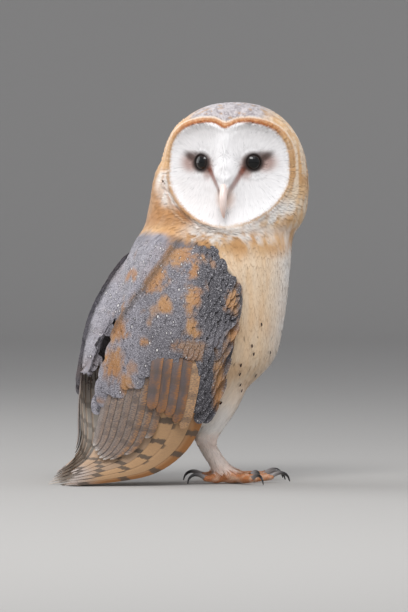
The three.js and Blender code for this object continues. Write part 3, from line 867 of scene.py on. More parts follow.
def billPlug():
    # an egg of flesh that fills the pocket round the bill's root and narrows on to it
    s = billPlugShape
    rings, columns = s["rings"], s["columns"]
    polar = np.linspace(0.05, math.pi - 0.05, rings)[:, None]
    turn = np.linspace(0, 2 * math.pi, columns, endpoint=False)[None, :]
    along = np.cos(polar) * s["halfLength"] * np.ones((1, columns))
    aside, out = np.sin(polar) * np.cos(turn) * s["radius"], np.sin(polar) * np.sin(turn) * s["radius"]
    forward, upright = s["lean"]
    egg = np.stack([-forward * along + upright * out, aside, upright * along + forward * out], -1)
    points = fromHead((np.array(s["centre"]) + egg).reshape(-1, 3))
    ring, column = np.meshgrid(np.arange(rings - 1), np.arange(columns), indexing="ij")
    here, beside = (ring * columns + column).ravel(), (ring * columns + (column + 1) % columns).ravel()
    faces = np.concatenate([
        np.stack([here, beside, beside + columns], 1),
        np.stack([here, beside + columns, here + columns], 1),
    ])
    last = (rings - 1) * columns
    ends = [[0, i + 1, i] for i in range(1, columns - 1)]
    ends += [[last, last + i, last + i + 1] for i in range(1, columns - 1)]
    return points, np.concatenate([faces, np.array(ends)])


def grownSolid(mesh):
    # a solid's points, moved out a little, and its triangles
    points = toOwl(np.array([v.co for v in mesh.vertices]))
    tris = np.array([p.vertices for p in mesh.polygons])
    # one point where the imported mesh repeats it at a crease
    _, first, back = np.unique(np.round(points, 3), axis=0, return_index=True, return_inverse=True)
    points, tris = points[first], back.ravel()[tris]
    normal = np.zeros_like(points)
    corner = np.cross(points[tris[:, 1]] - points[tris[:, 0]], points[tris[:, 2]] - points[tris[:, 0]])
    for k in range(3):
        np.add.at(normal, tris[:, k], corner)
    return points + unit(normal) * skinShape["overlap"], tris


def buildSkin(flesh):
    parts = [grownSolid(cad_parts[name].data) for name in flesh] + [billPlug()]
    starts = np.cumsum([0] + [len(points) for points, _ in parts])
    faces = np.concatenate([tris + start for (_, tris), start in zip(parts, starts)])
    rough = makeMesh("owl_skin", np.concatenate([points for points, _ in parts]), faces)
    remesh = rough.modifiers.new("one_surface", "REMESH")
    remesh.mode = "VOXEL"
    remesh.voxel_size = skinShape["voxel"] / 1000
    graph = bpy.context.evaluated_depsgraph_get()
    made = bpy.data.meshes.new_from_object(rough.evaluated_get(graph))
    places = np.zeros(len(made.vertices) * 3)
    made.vertices.foreach_get("co", places)
    quads = np.array([p.vertices[:] for p in made.polygons if len(p.vertices) == 4])
    bpy.data.objects.remove(rough)
    return toOwl(places.reshape(-1, 3)), quads


def quadEdges(quads):
    edges = np.concatenate([quads[:, [k, (k + 1) % 4]] for k in range(4)])
    edges.sort(axis=1)
    return np.unique(edges, axis=0)


def largestPart(points, quads):
    edges = quadEdges(quads)
    label = np.arange(len(points))
    while True:
        low = np.minimum(label[edges[:, 0]], label[edges[:, 1]])
        new = label.copy()
        np.minimum.at(new, edges[:, 0], low)
        np.minimum.at(new, edges[:, 1], low)
        new = np.minimum(new, new[new])
        if np.array_equal(new, label):
            break
        label = new
    values, counts = np.unique(label, return_counts=True)
    keep = label == values[counts.argmax()]
    index = np.cumsum(keep) - 1
    return points[keep], index[quads[keep[quads].all(axis=1)]]


def averager(count, edges):
    # a function that gives each point the mean of its neighbours' values
    a, b = edges[:, 0], edges[:, 1]
    degree = np.bincount(a, minlength=count) + np.bincount(b, minlength=count)

    def average(values):
        columns = values.reshape(count, -1).T
        total = [np.bincount(a, v[b], count) + np.bincount(b, v[a], count) for v in columns]
        return (np.stack(total, 1) / degree[:, None]).reshape(values.shape)
    return average


def pointNormals(points, quads):
    spread = np.cross(points[quads[:, 2]] - points[quads[:, 0]], points[quads[:, 3]] - points[quads[:, 1]])
    normal = np.zeros_like(points)
    for axis in range(3):
        for k in range(4):
            normal[:, axis] += np.bincount(quads[:, k], spread[:, axis], len(points))
    return unit(normal)


def coatDepth(points, disc, legs, toes, wingShare):
    # how deep the skin lies under the solids' surface
    s = skinShape
    depth = s["bodyDepth"] + (s["headDepth"] - s["bodyDepth"]) * ramp01(points[:, 2], 180, 195)
    shares = {"discDepth": disc, "legDepth": legs, "toeDepth": toes, "wingDepth": wingShare}
    for key, share in shares.items():
        depth = depth + (s[key] - depth) * share
    return depth + s["overlap"]


def dressSkin(points, quads, wingShare):
    # the skin smoothed, and sunk by the depth of the coat
    average = averager(len(points), quadEdges(quads))
    local, z = toHead(points), points[:, 2]
    rim = heartRim(local[:, 1], local[:, 2])
    disc = (1 - ramp01(rim, 1.03, 1.12)) * ramp01(local[:, 0], 6, 14) * ramp01(z, 178, 184)
    toes = 1 - ramp01(z, 9, 14)
    legs = 1 - ramp01(z, 32, 42)
    lowWing = wingShare * (1 - ramp01(z, 85, 110))
    firmness = 1 - np.max([disc * 0.85, toes * 0.8, legs * 0.5, lowWing * 0.75], axis=0)
    for _ in range(skinShape["smoothSteps"]):
        points = points + (average(points) - points) * 0.5 * firmness[:, None]
    depth = coatDepth(points, disc, legs, toes, wingShare)
    # creases keep their level, or they would open into cracks as the skin sinks
    normal = pointNormals(points, quads)
    crease = ((average(points) - points) * normal).sum(axis=1)
    for _ in range(3):
        crease = average(crease)
    depth = depth * (1 - 0.85 * ramp01(crease, *skinShape["crease"]))
    # the brink of the coverts sinks a little further, under their feathers
    brink = ramp01(-crease, *skinShape["crease"]) * (1 - ramp01(points[:, 2], 120, 140))
    depth = depth + skinShape["brinkDepth"] * wingShare * brink
    for _ in range(6):
        depth = average(depth)
    points = points - normal * depth[:, None]
    for _ in range(4):
        points = points + (average(points) - points) * 0.5 * firmness[:, None]
    points[:, 2] = np.maximum(points[:, 2], 0.02)
    return points


def standsClear(kept, cell, place, limit):
    # whether no kept root is nearer than the square root of the limit
    x, y, z = place
    for step in itertools.product((-1, 0, 1), repeat=3):
        for q in kept.get((cell[0] + step[0], cell[1] + step[1], cell[2] + step[2]), ()):
            if (q[0] - x) ** 2 + (q[1] - y) ** 2 + (q[2] - z) ** 2 < limit:
                return False
    return True


def plantPoints(points, quads, normals, weight, spacing, seed):
    # evenly scattered roots on the quads, closer where the weight is higher
    draw = np.random.default_rng(seed)
    tris = np.concatenate([quads[:, [0, 1, 2]], quads[:, [0, 2, 3]]])
    a, b, c = points[tris[:, 0]], points[tris[:, 1]], points[tris[:, 2]]
    area = np.linalg.norm(np.cross(b - a, c - a), axis=1) / 2
    share = area * weight[tris].mean(axis=1)
    total = share.sum()
    # about three tries for each root that stays
    count = int(total / spacing ** 2 * 3)
    pick = draw.choice(len(tris), count, p=share / total)
    r1, r2 = np.sqrt(draw.random(count)), draw.random(count)
    bary = np.stack([1 - r1, r1 * (1 - r2), r1 * r2], 1)
    place = (points[tris[pick]] * bary[:, :, None]).sum(axis=1)
    normal = unit((normals[tris[pick]] * bary[:, :, None]).sum(axis=1))
    here = (weight[tris[pick]] * bary).sum(axis=1)
    limits = (spacing * 0.82 / np.sqrt(np.maximum(here, 0.15))) ** 2
    cells = np.floor(place / (spacing * 2.2)).astype(int)
    kept, chosen = {}, []
    for i, (cell, at, limit) in enumerate(zip(cells.tolist(), place.tolist(), limits.tolist())):
        if standsClear(kept, cell, at, limit):
            kept.setdefault(tuple(cell), []).append(at)
            chosen.append(i)
    return place[chosen], normal[chosen]


def followSkin(tree, roots, normals, lie, length):
    # root, middle and tip of each feather, laid on the skin, and the skin's way up at each
    spine, ways = [roots], [normals]
    for fraction in (0.5, 1.0):
        targets = roots + lie * (length * fraction)[:, None]
        found = [tree.find_nearest(target) for target in targets]
        spine.append(np.array([place for place, *_ in found]))
        ways.append(np.array([normal for _, normal, *_ in found]))
    # keep the length where the skin curves away
    spine[2] = spine[1] + unit(spine[2] - spine[1]) * (length * 0.5)[:, None]
    return spine, ways


vaneForms = {
    # width along the feather, from root to tip
    "lock": [(0, 0.5), (0.35, 1.0), (0.7, 0.75), (1, 0.06)],
    "plume": [(0, 0.45), (0.3, 0.95), (0.62, 1.0), (0.85, 0.66), (1, 0.1)],
    "covert": [(0, 0.4), (0.25, 0.85), (0.5, 1.0), (0.75, 0.98), (0.9, 0.78), (0.97, 0.5), (1, 0.2)],
}


def growFeathers(name, spine, normals, length, width, form, height, material, paint, unwrap,
                 across=1, cup=0.0, spots=None, patch=0.003, lift=0.0):
    # height: how far the root and the tip stand off the skin, in mm
    s, widths = np.array(vaneForms[form]).T
    t = np.linspace(-1, 1, across + 1)
    count, rows, columns = len(spine[0]), len(s), len(t)
    # a curve through the root, the middle and the tip
    shares = [share[None, :, None] for share in (2 * s ** 2 - 3 * s + 1, 4 * s - 4 * s ** 2, 2 * s ** 2 - s)]
    line = sum(place[:, None] * share for place, share in zip(spine, shares))
    up = unit(sum(normal[:, None] * share for normal, share in zip(normals, shares)))
    ahead = unit(np.gradient(line, s, axis=1))
    aside = unit(np.cross(up, ahead))
    rise = height[0][:, None] + (height[1] - height[0])[:, None] * s[None, :] + lift * s[None, :] ** 3
    half = width[:, None] / 2 * widths[None, :]
    level = rise[:, :, None] - cup * (t ** 2)[None, None, :] * half[:, :, None]
    placed = line[:, :, None] + aside[:, :, None] * (half[:, :, None] * t[None, None, :])[..., None]
    points = (placed + up[:, :, None] * level[..., None]).reshape(-1, 3)
    points[:, 2] = np.maximum(points[:, 2], 0.05)
    faces = gridFaces(rows, columns, count)
    obj = makeMesh(name, points, faces)
    if form != "covert":
        # downy feathers melt into each other, so they are shaded by the skin's own way up
        slope = (height[1] - height[0]) / length
        facing = unit(up - ahead * slope[:, None, None] * 0.5)
        facing = np.repeat(facing[:, :, None], columns, axis=2).reshape(-1, 3)
        obj.data.normals_split_custom_set_from_vertices(facing.tolist())
    # vane: mm across, mm along, a number of its own
    own = rng.random(count)
    vane = np.zeros((count, rows, columns, 3))
    vane[..., 0] = half[:, :, None] * t[None, None, :]
    vane[..., 1] = (length[:, None] * s[None, :])[:, :, None]
    vane[..., 2] = own[:, None, None]
    vectors = {"vane": vane}
    colour = paint(points, np.repeat(np.arange(count), rows * columns))
    if spots is not None:
        # spot: distance from the pearl's middle over its radius, its strength, how grey the vane is
        colour, greyness = colour
        middle, radius, strength = (value[:, None, None] for value in spots)
        spot = np.zeros((count, rows, columns, 3))
        spot[..., 0] = np.hypot(vane[..., 0] / radius, (vane[..., 1] - middle) / (1.5 * radius))
        spot[..., 1] = strength
        spot[..., 2] = greyness.reshape(count, rows, columns)
        vectors["spot"] = spot
    tone = 1 + (own - 0.5) * 0.09
    # each feather is a small patch of the map, at its root's place
    root = unwrap(spine[0])[:, None, None]
    bake = np.zeros((count, rows, columns, 2))
    bake[..., 0] = root[..., 0] + patch * 0.46 * t[None, None, :]
    bake[..., 1] = root[..., 1] + patch * (s[None, :, None] - 0.5)
    dressPiece(obj, material, colour * np.repeat(tone, rows * columns)[:, None], bake, vectors)
    print(f"{name}: {count} feathers, {len(faces) * 2} triangles")


def roundUnwrap(axis, low, high):
    # the skin unrolled round an upright axis
    def unwrap(points):
        turn = np.arctan2(points[:, 1] - axis[1], points[:, 0] - axis[0]) / (2 * math.pi) + 0.5
        rise = (points[:, 2] - low) / (high - low)
        return np.clip(np.stack([turn, rise], 1), 0, 1) * 0.98 + 0.01
    return unwrap


def faceUnwrap(points):
    # the disc opened flat, and the rest of the head unrolled round it
    local = toHead(points)
    turn = np.arctan2(local[:, 1], local[:, 2] + 9)
    away = np.arctan2(np.hypot(local[:, 1], local[:, 2] + 9), local[:, 0] + 10) / math.pi
    return np.stack([0.5 + 0.49 * away * np.sin(turn), 0.5 + 0.49 * away * np.cos(turn)], 1)


def wobbleLie(lie, normals, degrees, draw):
    lie = unit(lie - normals * (lie * normals).sum(axis=1, keepdims=True))
    side = np.cross(normals, lie)
    turn = np.radians(draw.normal(0, degrees, len(lie)))[:, None]
    return unit(lie * np.cos(turn) + side * np.sin(turn))


def headLie(points):
    # back over the head, and down at its sides
    x, y, z = toHead(points).T
    back = -1 + 0.6 * ramp01(-z, 10, 45)
    aside = 0.25 * np.tanh(y / 8) * ramp01(x, 0, 20)
    return np.stack([back, aside, -0.5 - 1.3 * ramp01(-z, -10, 40)], 1) @ headAxes


def discLie(points):
    # away from the eyes and up from the bill, out to the rim
    local = toHead(points)
    aside = np.tanh(local[:, 1] / 3)
    out = np.stack([np.zeros(len(points)), local[:, 1] - aside * 12, local[:, 2] + 3], 1)
    middle = np.exp(-(local[:, 1] / 7) ** 2)
    ridge = np.stack([np.zeros(len(points)), aside * 0.4, np.tanh((local[:, 2] - 4) / 4)], 1)
    way = unit(out) * (1 - middle)[:, None] + ridge * middle[:, None]
    return way @ headAxes


def billLie(points):
    # down over the root of the bill, closing in on its ridge
    local = toHead(points)
    way = np.stack([0.55 * np.ones(len(points)), -0.12 * local[:, 1], -np.ones(len(points))], 1)
    return way @ headAxes


def rimLie(points):
    # straight out from the middle of the face
    local = toHead(points)
    way = np.stack([-0.35 * np.ones(len(points)), local[:, 1], local[:, 2] - headShape["discMiddle"]], 1)
    return way @ headAxes


def bodyLie(points):
    # down, and further back towards the tail
    x, _, z = points.T
    back = 0.15 + 0.75 * ramp01(-z, -90, -50) + 0.25 * ramp01(-x, 20, 80)
    return np.stack([-back, np.zeros(len(points)), -np.ones(len(points))], 1)


def legLie(points):
    return np.broadcast_to(np.array([0.5, 0.0, -1.0]), (len(points), 3))

right, back = placeCamera()
buildStudio(right, back)
print("studio ready")

# The outer face of a wing's coverts, from the shoulder to this share of the wing.
coverEnd = 0.6


def coverBulge(along):
    # how far the coverts stand off the wing's own surface
    return 6 + 6.5 * np.sin(math.pi * np.clip(along / 0.56, 0, 1)) ** 0.7


def coverEdge(across):
    # the solids' covert layer thins to its two edges
    return 0.6 + 0.4 * np.clip(np.minimum(across, 1 - across) / 0.1, 0, 1)


# A grid over each wing's coverts, to look places up on.
gridRows, gridColumns = 46, 30
gridAlong, gridAcross = np.meshgrid(np.linspace(0, coverEnd, gridRows), np.linspace(0, 1, gridColumns),
                                    indexing="ij")
wingTrees = {}
for side in (-1, 1):
    surface = wingPoint(gridAlong, gridAcross, coverBulge(gridAlong) * coverEdge(gridAcross), side)
    cells = gridFaces(gridRows, gridColumns, flipped=True)
    wingTrees[side] = BVHTree.FromPolygons(surface.reshape(-1, 3).tolist(), cells.tolist())


# How far from the coverts' outer face a place still counts as theirs, all in mm.
coverReach = {"search": 14, "face": 3.5, "rearEdge": 10, "fade": 2.5, "nothingNear": 99.0}


def nearWing(places):
    # 1 on a wing's coverts and their rear edge, 0 away from them; and how far off their outer face
    c = coverReach
    near, off = np.zeros(len(places)), np.full(len(places), c["nothingNear"])
    for i, p in enumerate(places.tolist()):
        place, _, cell, distance = wingTrees[-1 if p[1] < 0 else 1].find_nearest(p, c["search"])
        if place is not None:
            # the last three columns of the grid are the rear edge
            rear = cell % (gridColumns - 1) >= gridColumns - 4
            past = distance - (c["rearEdge"] if rear else c["face"])
            near[i] = 1 - min(max(past / c["fade"], 0), 1)
            off[i] = distance
    return near, off


flesh = ["head", "facial_disc", "neck", "trunk"]
flesh += [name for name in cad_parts
          if name.endswith("_coverts") or name.split("_")[0] in ("thigh", "shank", "foot", "toe")]
points, quads = largestPart(*buildSkin(flesh))
points = dressSkin(points, quads, nearWing(points)[0])
normals = pointNormals(points, quads)
skinTree = BVHTree.FromPolygons(points.tolist(), quads.tolist())
print("skin:", len(points), "points")

wingNear, wingOff = nearWing(points)
local = toHead(points)
headX, headY, headZ = local.T
rimPlace = heartRim(headY, headZ)
onEdge = (rimPlace > 0.95) & (rimPlace < 0.99) & (headX > 8) & (points[:, 2] > 176)
edgeTurn = np.degrees(np.arctan2(headY, headZ - headShape["discMiddle"]))
rimFront["turn"] = np.arange(-180.0, 181.0, 10.0)
rimFront["depth"] = np.array([
    np.median(headX[onEdge & (np.abs((edgeTurn - a + 180) % 360 - 180) < 8)]) for a in rimFront["turn"]])
print("edge of the face, forward:", rimFront["depth"].round(0)[::3])
skinColour, upperShare, _ = coatColour(points, wingNear)
skin = makeMesh("owl_skin", points, quads)
setColour(skin, skinColour * 0.92)
skin.data.materials.append(bareSkin("skin_under_down"))
skin.data.materials.append(toeSkin("scaled_toe_skin"))
toeFaces = (points[quads].mean(axis=1)[:, 2] < 9.5).astype(np.int32)
skin.data.polygons.foreach_set("material_index", toeFaces)
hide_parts(*flesh)

headShare, neckShare, _, legShare = bodyZones(points, wingNear)
discShare = (rimPlace < 1.0) & (headX > 8) & (points[:, 2] > 180)
eyeClear = np.ones(len(points), bool)
for aside in (-1, 1):
    eye = fromHead([headShape["eyeForward"], aside * headShape["eyeAside"], -headShape["eyeDrop"]])
    eyeClear &= np.linalg.norm(points - eye, axis=1) > headShape["eyeRadius"] + 0.9
billClear = ~((np.abs(headY) < 3.2) & (headZ < -28) & (headZ > -38) & (headX > 30))

downy = downFeather("body_feather_down", downLook["bodyBarbMm"], downLook["bodyParting"])
facial = downFeather("facial_disc_down", downLook["faceBarbMm"], downLook["faceParting"])
speckled = speckledFeather("covert_vane_speckled")


def colourOf(places):
    return coatColour(places, nearWing(places)[0])[0]


def paintDown(vertices, owner):
    return colourOf(vertices)


def tract(name, weight, spacing, lengths, widths, form, lieOf, heights, material, unwrap, seed,
          degrees=8.0, paint=paintDown, lift=0.0):
    # one region of the coat: feathers rooted evenly over the skin where the weight is set; heights
    # are those of the roots and, from lowest to highest, of the tips
    roots, rootNormals = plantPoints(points, quads, normals, weight.astype(float), spacing, seed)
    draw = np.random.default_rng(seed + 100)
    lie = wobbleLie(lieOf(roots), rootNormals, degrees, draw)
    count = len(roots)
    length = draw.uniform(*lengths, count)
    width = draw.uniform(*widths, count)
    spine, ways = followSkin(skinTree, roots, rootNormals, lie, length)
    height = (np.full(count, heights[0]), draw.uniform(heights[1], heights[2], count))
    if paint is None:
        # one colour for each feather, that of its root
        base = colourOf(roots)
        paint = (lambda vertices, owner: base[owner])
    growFeathers(name, spine, ways, length, width, form, height, material, paint, unwrap,
                 lift=lift)


bodyUnwrap = roundUnwrap((-20, 0), 30, 235)
legUnwrap = roundUnwrap((-12, 0), 0, 45)
tract("feathers_facial_disc", discShare & eyeClear & billClear, 1.2, (5.0, 8.0), (1.0, 1.5), "lock", discLie,
      (0.05, 0.21, 0.28), facial, faceUnwrap, 11, degrees=5)
bristleShare = (np.abs(headY) < 7) & (headZ < -9) & (headZ > -33) & (headX > 30)
tract("feathers_bill_base", bristleShare, 0.95, (4.5, 7.5), (0.6, 1.0), "lock", billLie,
      (0.1, 0.5, 0.9), facial, faceUnwrap, 31, degrees=9)
rimShare = (rimPlace >= 0.985) & (rimPlace < 1.12) & (headX > 2) & (points[:, 2] > 178)
tract("feathers_disc_rim", rimShare, 1.15, (3.6, 5.0), (1.1, 1.7), "plume", rimLie,
      (0.3, 1.0, 1.4), downy, faceUnwrap, 12, degrees=4, lift=0.3)
fringeShare = (rimPlace >= 1.02) & (rimPlace < 1.26) & (headX > -6) & (points[:, 2] > 168)
fringeShare = fringeShare * ramp01(-headZ, -9, 14) ** 2
tract("feathers_face_fringe", fringeShare, 1.4, (5.5, 9.0), (1.4, 2.1), "lock", rimLie,
      (0.2, 0.7, 1.25), downy, faceUnwrap, 17, degrees=12)
headOnly = (headShare > 0.5) & ((rimPlace >= 1.06) | (headX <= 4))
tract("feathers_head", headOnly, 1.6, (6, 9), (1.6, 2.4), "plume", headLie,
      (0.15, 0.5, 0.65), downy, faceUnwrap, 13, degrees=7)
neckOnly = (headShare <= 0.5) & (neckShare > 0.5) & (upperShare < 0.5)
tract("feathers_neck", neckOnly, 1.8, (9, 14), (1.7, 2.7), "plume", bodyLie,
      (0.15, 0.6, 0.8), downy, bodyUnwrap, 14, degrees=8)
bellyOnly = (neckShare <= 0.5) & (upperShare < 0.5) & (legShare < 0.5)
tract("feathers_belly", bellyOnly, 1.9, (9, 13), (1.8, 2.8), "plume", bodyLie,
      (0.15, 0.5, 0.62), downy, bodyUnwrap, 15, degrees=6)
legOnly = (legShare >= 0.5) & (points[:, 2] > 8)
tract("feathers_legs", legOnly, 1.0, (3.0, 4.8), (0.7, 1.1), "lock", legLie,
      (0.1, 0.6, 1.1), downy, legUnwrap, 16, degrees=12, paint=None)
upperUnwrap = roundUnwrap((-60, 0), 30, 190)


def pearls(count, length, draw):
    # a white drop ringed dark near the tip of some feathers: its middle, radius and strength
    radius = draw.uniform(0.5, 0.85, count)
    strength = (draw.random(count) < 0.42) * draw.uniform(0.6, 1.0, count)
    return length - draw.uniform(1.4, 4.0, count), radius, strength


def paintUpper(vertices, owner):
    return upperColour(vertices)


def growCoverts(name, spine, ways, length, width, cup, tips, draw):
    # broad speckled feathers; the tips stand off the surface by a height between these two
    count = len(length)
    height = (np.full(count, tips[0]), draw.uniform(tips[1], tips[2], count))
    growFeathers(name, spine, ways, length, width, "covert", height, speckled, paintUpper, upperUnwrap,
                 across=4, cup=cup, spots=pearls(count, length, draw), patch=0.006)


def upperTract(name, side, seed):
    # mantle and scapulars, where the grey upper side lies on the body
    rearEdge = (points[:, 1] > 8) & (normals[:, 1] < 0.4) & (points[:, 2] > 86)
    clear = wingOff > 2.0 + 3.5 * (1 - ramp01(points[:, 2], 105, 125))
    inside = (upperShare >= 0.5) & (clear | rearEdge) & (points[:, 1] * side > 0) & (legShare < 0.5)
    roots, rootNormals = plantPoints(points, quads, normals, inside.astype(float), 3.2, seed)
    draw = np.random.default_rng(seed + 100)
    lie = wobbleLie(bodyLie(roots), rootNormals, 5, draw)
    length = draw.uniform(9, 12, len(roots))
    width = draw.uniform(6.5, 8.0, len(roots))
    spine, ways = followSkin(skinTree, roots, rootNormals, lie, length)
    # none lies across a crease
    flat = (ways[0] * ways[2]).sum(axis=1) > 0.8
    spine, ways = [place[flat] for place in spine], [way[flat] for way in ways]
    growCoverts(name, spine, ways, length[flat], width[flat], 0.1, (0.15, 0.5, 0.7), draw)


coverRows = {
    "wingLength": 215,             # mm, about, along which the feathers' lengths are laid off
    "firstPitch": 0.018,           # from row to row at the shoulder, and how much it grows, as shares of it
    "morePitch": 0.012,
    "firstWidth": 6.4,
    "moreWidth": 2.6,
    "firstLength": 7.5,
    "moreLength": 8.5,
    "end": 0.53,
    # where the last row ends, by place across the wing: the greater coverts go on from there
    "lastAcross": (0, 0.12, 0.2, 0.28, 0.34, 0.46, 0.66, 0.84, 1.0),
    "lastAlong": (0.56, 0.56, 0.5, 0.4, 0.39, 0.43, 0.47, 0.53, 0.57),
    "rightEdge": 0.985,
    "leftEdge": 0.86,              # the left wing's rear edge would show its underside past the back
}


def coverFeathers(name, side, seed):
    # wing coverts in rows: small at the shoulder, long over the flight feathers
    c = coverRows
    edge = c["rightEdge"] if side < 0 else c["leftEdge"]
    draw = np.random.default_rng(seed)
    rows, along = [], 0.0
    while along < c["end"]:
        size = ramp01(np.array(along), 0.05, 0.45)
        width = c["firstWidth"] + c["moreWidth"] * size
        row = wingRow(np.array(along))
        chord = float(np.linalg.norm(row[3:6] - row[0:3])) + 22
        count = int(chord / (width * 0.62))
        across = (np.arange(count) + 0.5 + 0.5 * (len(rows) % 2)) / count
        across = across + draw.normal(0, 0.008, count)
        last = np.interp(across, c["lastAcross"], c["lastAlong"])
        reach = (c["firstLength"] + c["moreLength"] * size) * draw.uniform(0.92, 1.08, count)
        keep = (across < edge) & (along + reach / c["wingLength"] < last + 0.02)
        place = wingPoint(np.full(count, along), np.clip(across, 0, 1), coverBulge(along), side)
        keep &= place[:, 2] < mantleLevel(place) + 2
        rows.append(np.stack([np.full(count, along) + draw.normal(0, 0.002, count), across, reach,
                              width * draw.uniform(0.95, 1.1, count)], 1)[keep])
        along += float(c["firstPitch"] + c["morePitch"] * size)
    along, across, length, width = np.concatenate(rows).T
    # the feathers turn in a little from both edges
    drift = draw.normal(0, 0.01, len(along))
    drift = drift + 0.05 * (1 - ramp01(across, 0.02, 0.14)) - 0.04 * ramp01(across, 0.88, 0.98)

    def lay(share):
        t = along + share * length / c["wingLength"]
        a = np.clip(across + share * drift, 0.0, 1.0)
        level = coverBulge(t) * coverEdge(a) - 0.75
        return wingPoint(t, a, level, side), wingPoint(t, a, level + 1, side)
    spine, ways = zip(*[(low, unit(high - low)) for low, high in map(lay, (0.0, 0.5, 1.0))])
    growCoverts(name, spine, ways, length, width, 0.08, (0.1, 0.5, 0.65), draw)


upperTract("feathers_mantle_right", -1, 21)
upperTract("feathers_mantle_left", 1, 22)
coverFeathers("feathers_coverts_right", -1, 23)
coverFeathers("feathers_coverts_left", 1, 24)

# Section of a flight feather: across it, and 1 on the shaft, 0 on the vane, -1 on the underside.
vaneLoop = np.array([(-1, 0), (-0.7, 0), (-0.35, 0), (-0.06, 1), (0.06, 1), (0.35, 0), (0.7, 0), (1, 0),
                     (0.6, -1), (0, -1), (-0.6, -1), (-1, 0)])
flightShape = {
    "shaftHeight": 0.192,          # mm above the vane
    "thickness": 0.45,
    "rootWidth": 0.75,             # of the full width
    "tipStart": 0.86,              # where the tip starts to round off, and how squarely
    "tipPower": 2.2,
}


def flightFeathers(name, surfaces, width, length, paint, replaced, rows=22):
    # surfaces: for each feather a function of (along 0-1, across -1 to 1, level in mm) giving points
    # paint: its colour and, for the bars, their count so far, their strength and that of the pepper
    f = flightShape
    columns = len(vaneLoop)
    whole = np.ones((rows, columns))
    v = 1 - (1 - np.linspace(0, 1, rows)) ** 1.3
    rounding = (np.clip(v - f["tipStart"], 0, 1) / (1 - f["tipStart"])) ** f["tipPower"]
    outline = f["rootWidth"] + (1 - f["rootWidth"]) * ramp01(v, 0, 0.2)
    outline = outline * np.sqrt(np.clip(1 - rounding, 0.0004, 1))
    across = outline[:, None] * vaneLoop[None, :, 0]
    along = v[:, None] * whole
    lift = vaneLoop[None, :, 1] * whole
    underside = lift < 0
    level = np.where(underside, lift * f["thickness"], lift * f["shaftHeight"])
    widths = np.broadcast_to(width, len(surfaces))
    everyPoint, everyVane, everyColour, everySpot, everyMap = [], [], [], [], []
    for k, surface in enumerate(surfaces):
        places = surface(along, across, level)
        places[..., 2] = np.maximum(places[..., 2], 0.05)
        at = {"across": across, "along": along, "mm": along * length,
              "underside": underside, "points": places}
        colour, bars = paint(k, at)
        around = np.linspace(0, 1, columns) * whole
        everyPoint.append(places)
        everyVane.append(np.stack([across * widths[k], at["mm"], k * 1.7 * whole], -1))
        everyColour.append(np.where(underside[..., None], flightColours["under"], colour))
        everySpot.append(np.stack([value * whole for value in bars], -1))
        everyMap.append(np.stack([(k + 0.05 + 0.9 * around) / len(surfaces), 0.02 + 0.96 * along], -1))
    faces = gridFaces(rows, columns, len(surfaces), flipped=True)
    obj = makeMesh(name, np.reshape(everyPoint, (-1, 3)), faces, closed=True)
    dressPiece(obj, wingFlight, np.reshape(everyColour, (-1, 3)), np.array(everyMap),
               {"vane": np.array(everyVane), "spot": np.array(everySpot)}, replaced)
    print(f"{name}: {len(surfaces)} feathers")


# Primaries from the leading edge back: middle, half width and tip as shares of the wing.
primaries = [(0.065, 0.09, 0.992), (0.22, 0.13, 0.985), (0.38, 0.125, 0.972), (0.53, 0.12, 0.962),
             (0.67, 0.11, 0.95), (0.79, 0.10, 0.942), (0.91, 0.09, 0.935)]
# Secondaries and tertials, on top of them.
secondaries = [(0.475, 0.06, 0.66), (0.55, 0.06, 0.765), (0.63, 0.06, 0.81), (0.705, 0.055, 0.825),
               (0.775, 0.055, 0.82), (0.845, 0.05, 0.80), (0.91, 0.05, 0.775), (0.96, 0.04, 0.745)]
flightColours = {
    "outer": toLinear("#a87343"),
    "buff": toLinear("#bd9770"),
    "tertial": toLinear("#8d8076"),
    "tertialRust": toLinear("#a97a4c"),
    "under": toLinear("#e4dcd2"),
    "tip": toLinear("#b7aaa2"),
}
wingFlight = flightFeather("flight_feather_vane")
barPitch = {"primaries": 19, "secondaries": 16, "greater": 14, "tail": 18}   # mm from one bar to the next


def wingFeather(side, middle, half, start, end, low, tilt):
    def surface(v, u, level):
        along = start + (end - start) * v
        spread = half * (0.75 + 0.25 * v)
        drift = (1 - v) * 0.25 * (0.5 - middle)
        # the coverts hold its root up
        lift = (coverBulge(np.minimum(along, 0.5)) - 1.8 - low) * (1 - ramp01(along, 0.44, 0.74))
        lift = lift * (0.55 if middle < 0.2 else 1)
        height = low + np.maximum(lift, 0) - tilt * u + level - 0.25 * np.abs(u) ** 2
        return wingPoint(along, middle + drift + spread * u, height, side)
    return surface


# Greater coverts: middle, as a share of the wing, and where the tip is along it.
greaterCoverts = [(0.235, 0.61), (0.31, 0.59), (0.385, 0.57), (0.46, 0.56), (0.535, 0.55)]


def coverFeather(side, middle, end):
    def surface(v, u, level):
        along = 0.33 + (end - 0.33) * v
        fall = 1 - 0.35 * ramp01(along, 0.51, 0.63)
        height = coverBulge(np.minimum(along, 0.5)) * fall + 0.8 - 0.35 * u + level
        # its root goes under the smaller coverts
        height = height - 3.4 * (1 - ramp01(v, 0.1, 0.42))
        return wingPoint(along, middle - 0.03 * v + 0.047 * u, height, side)
    return surface


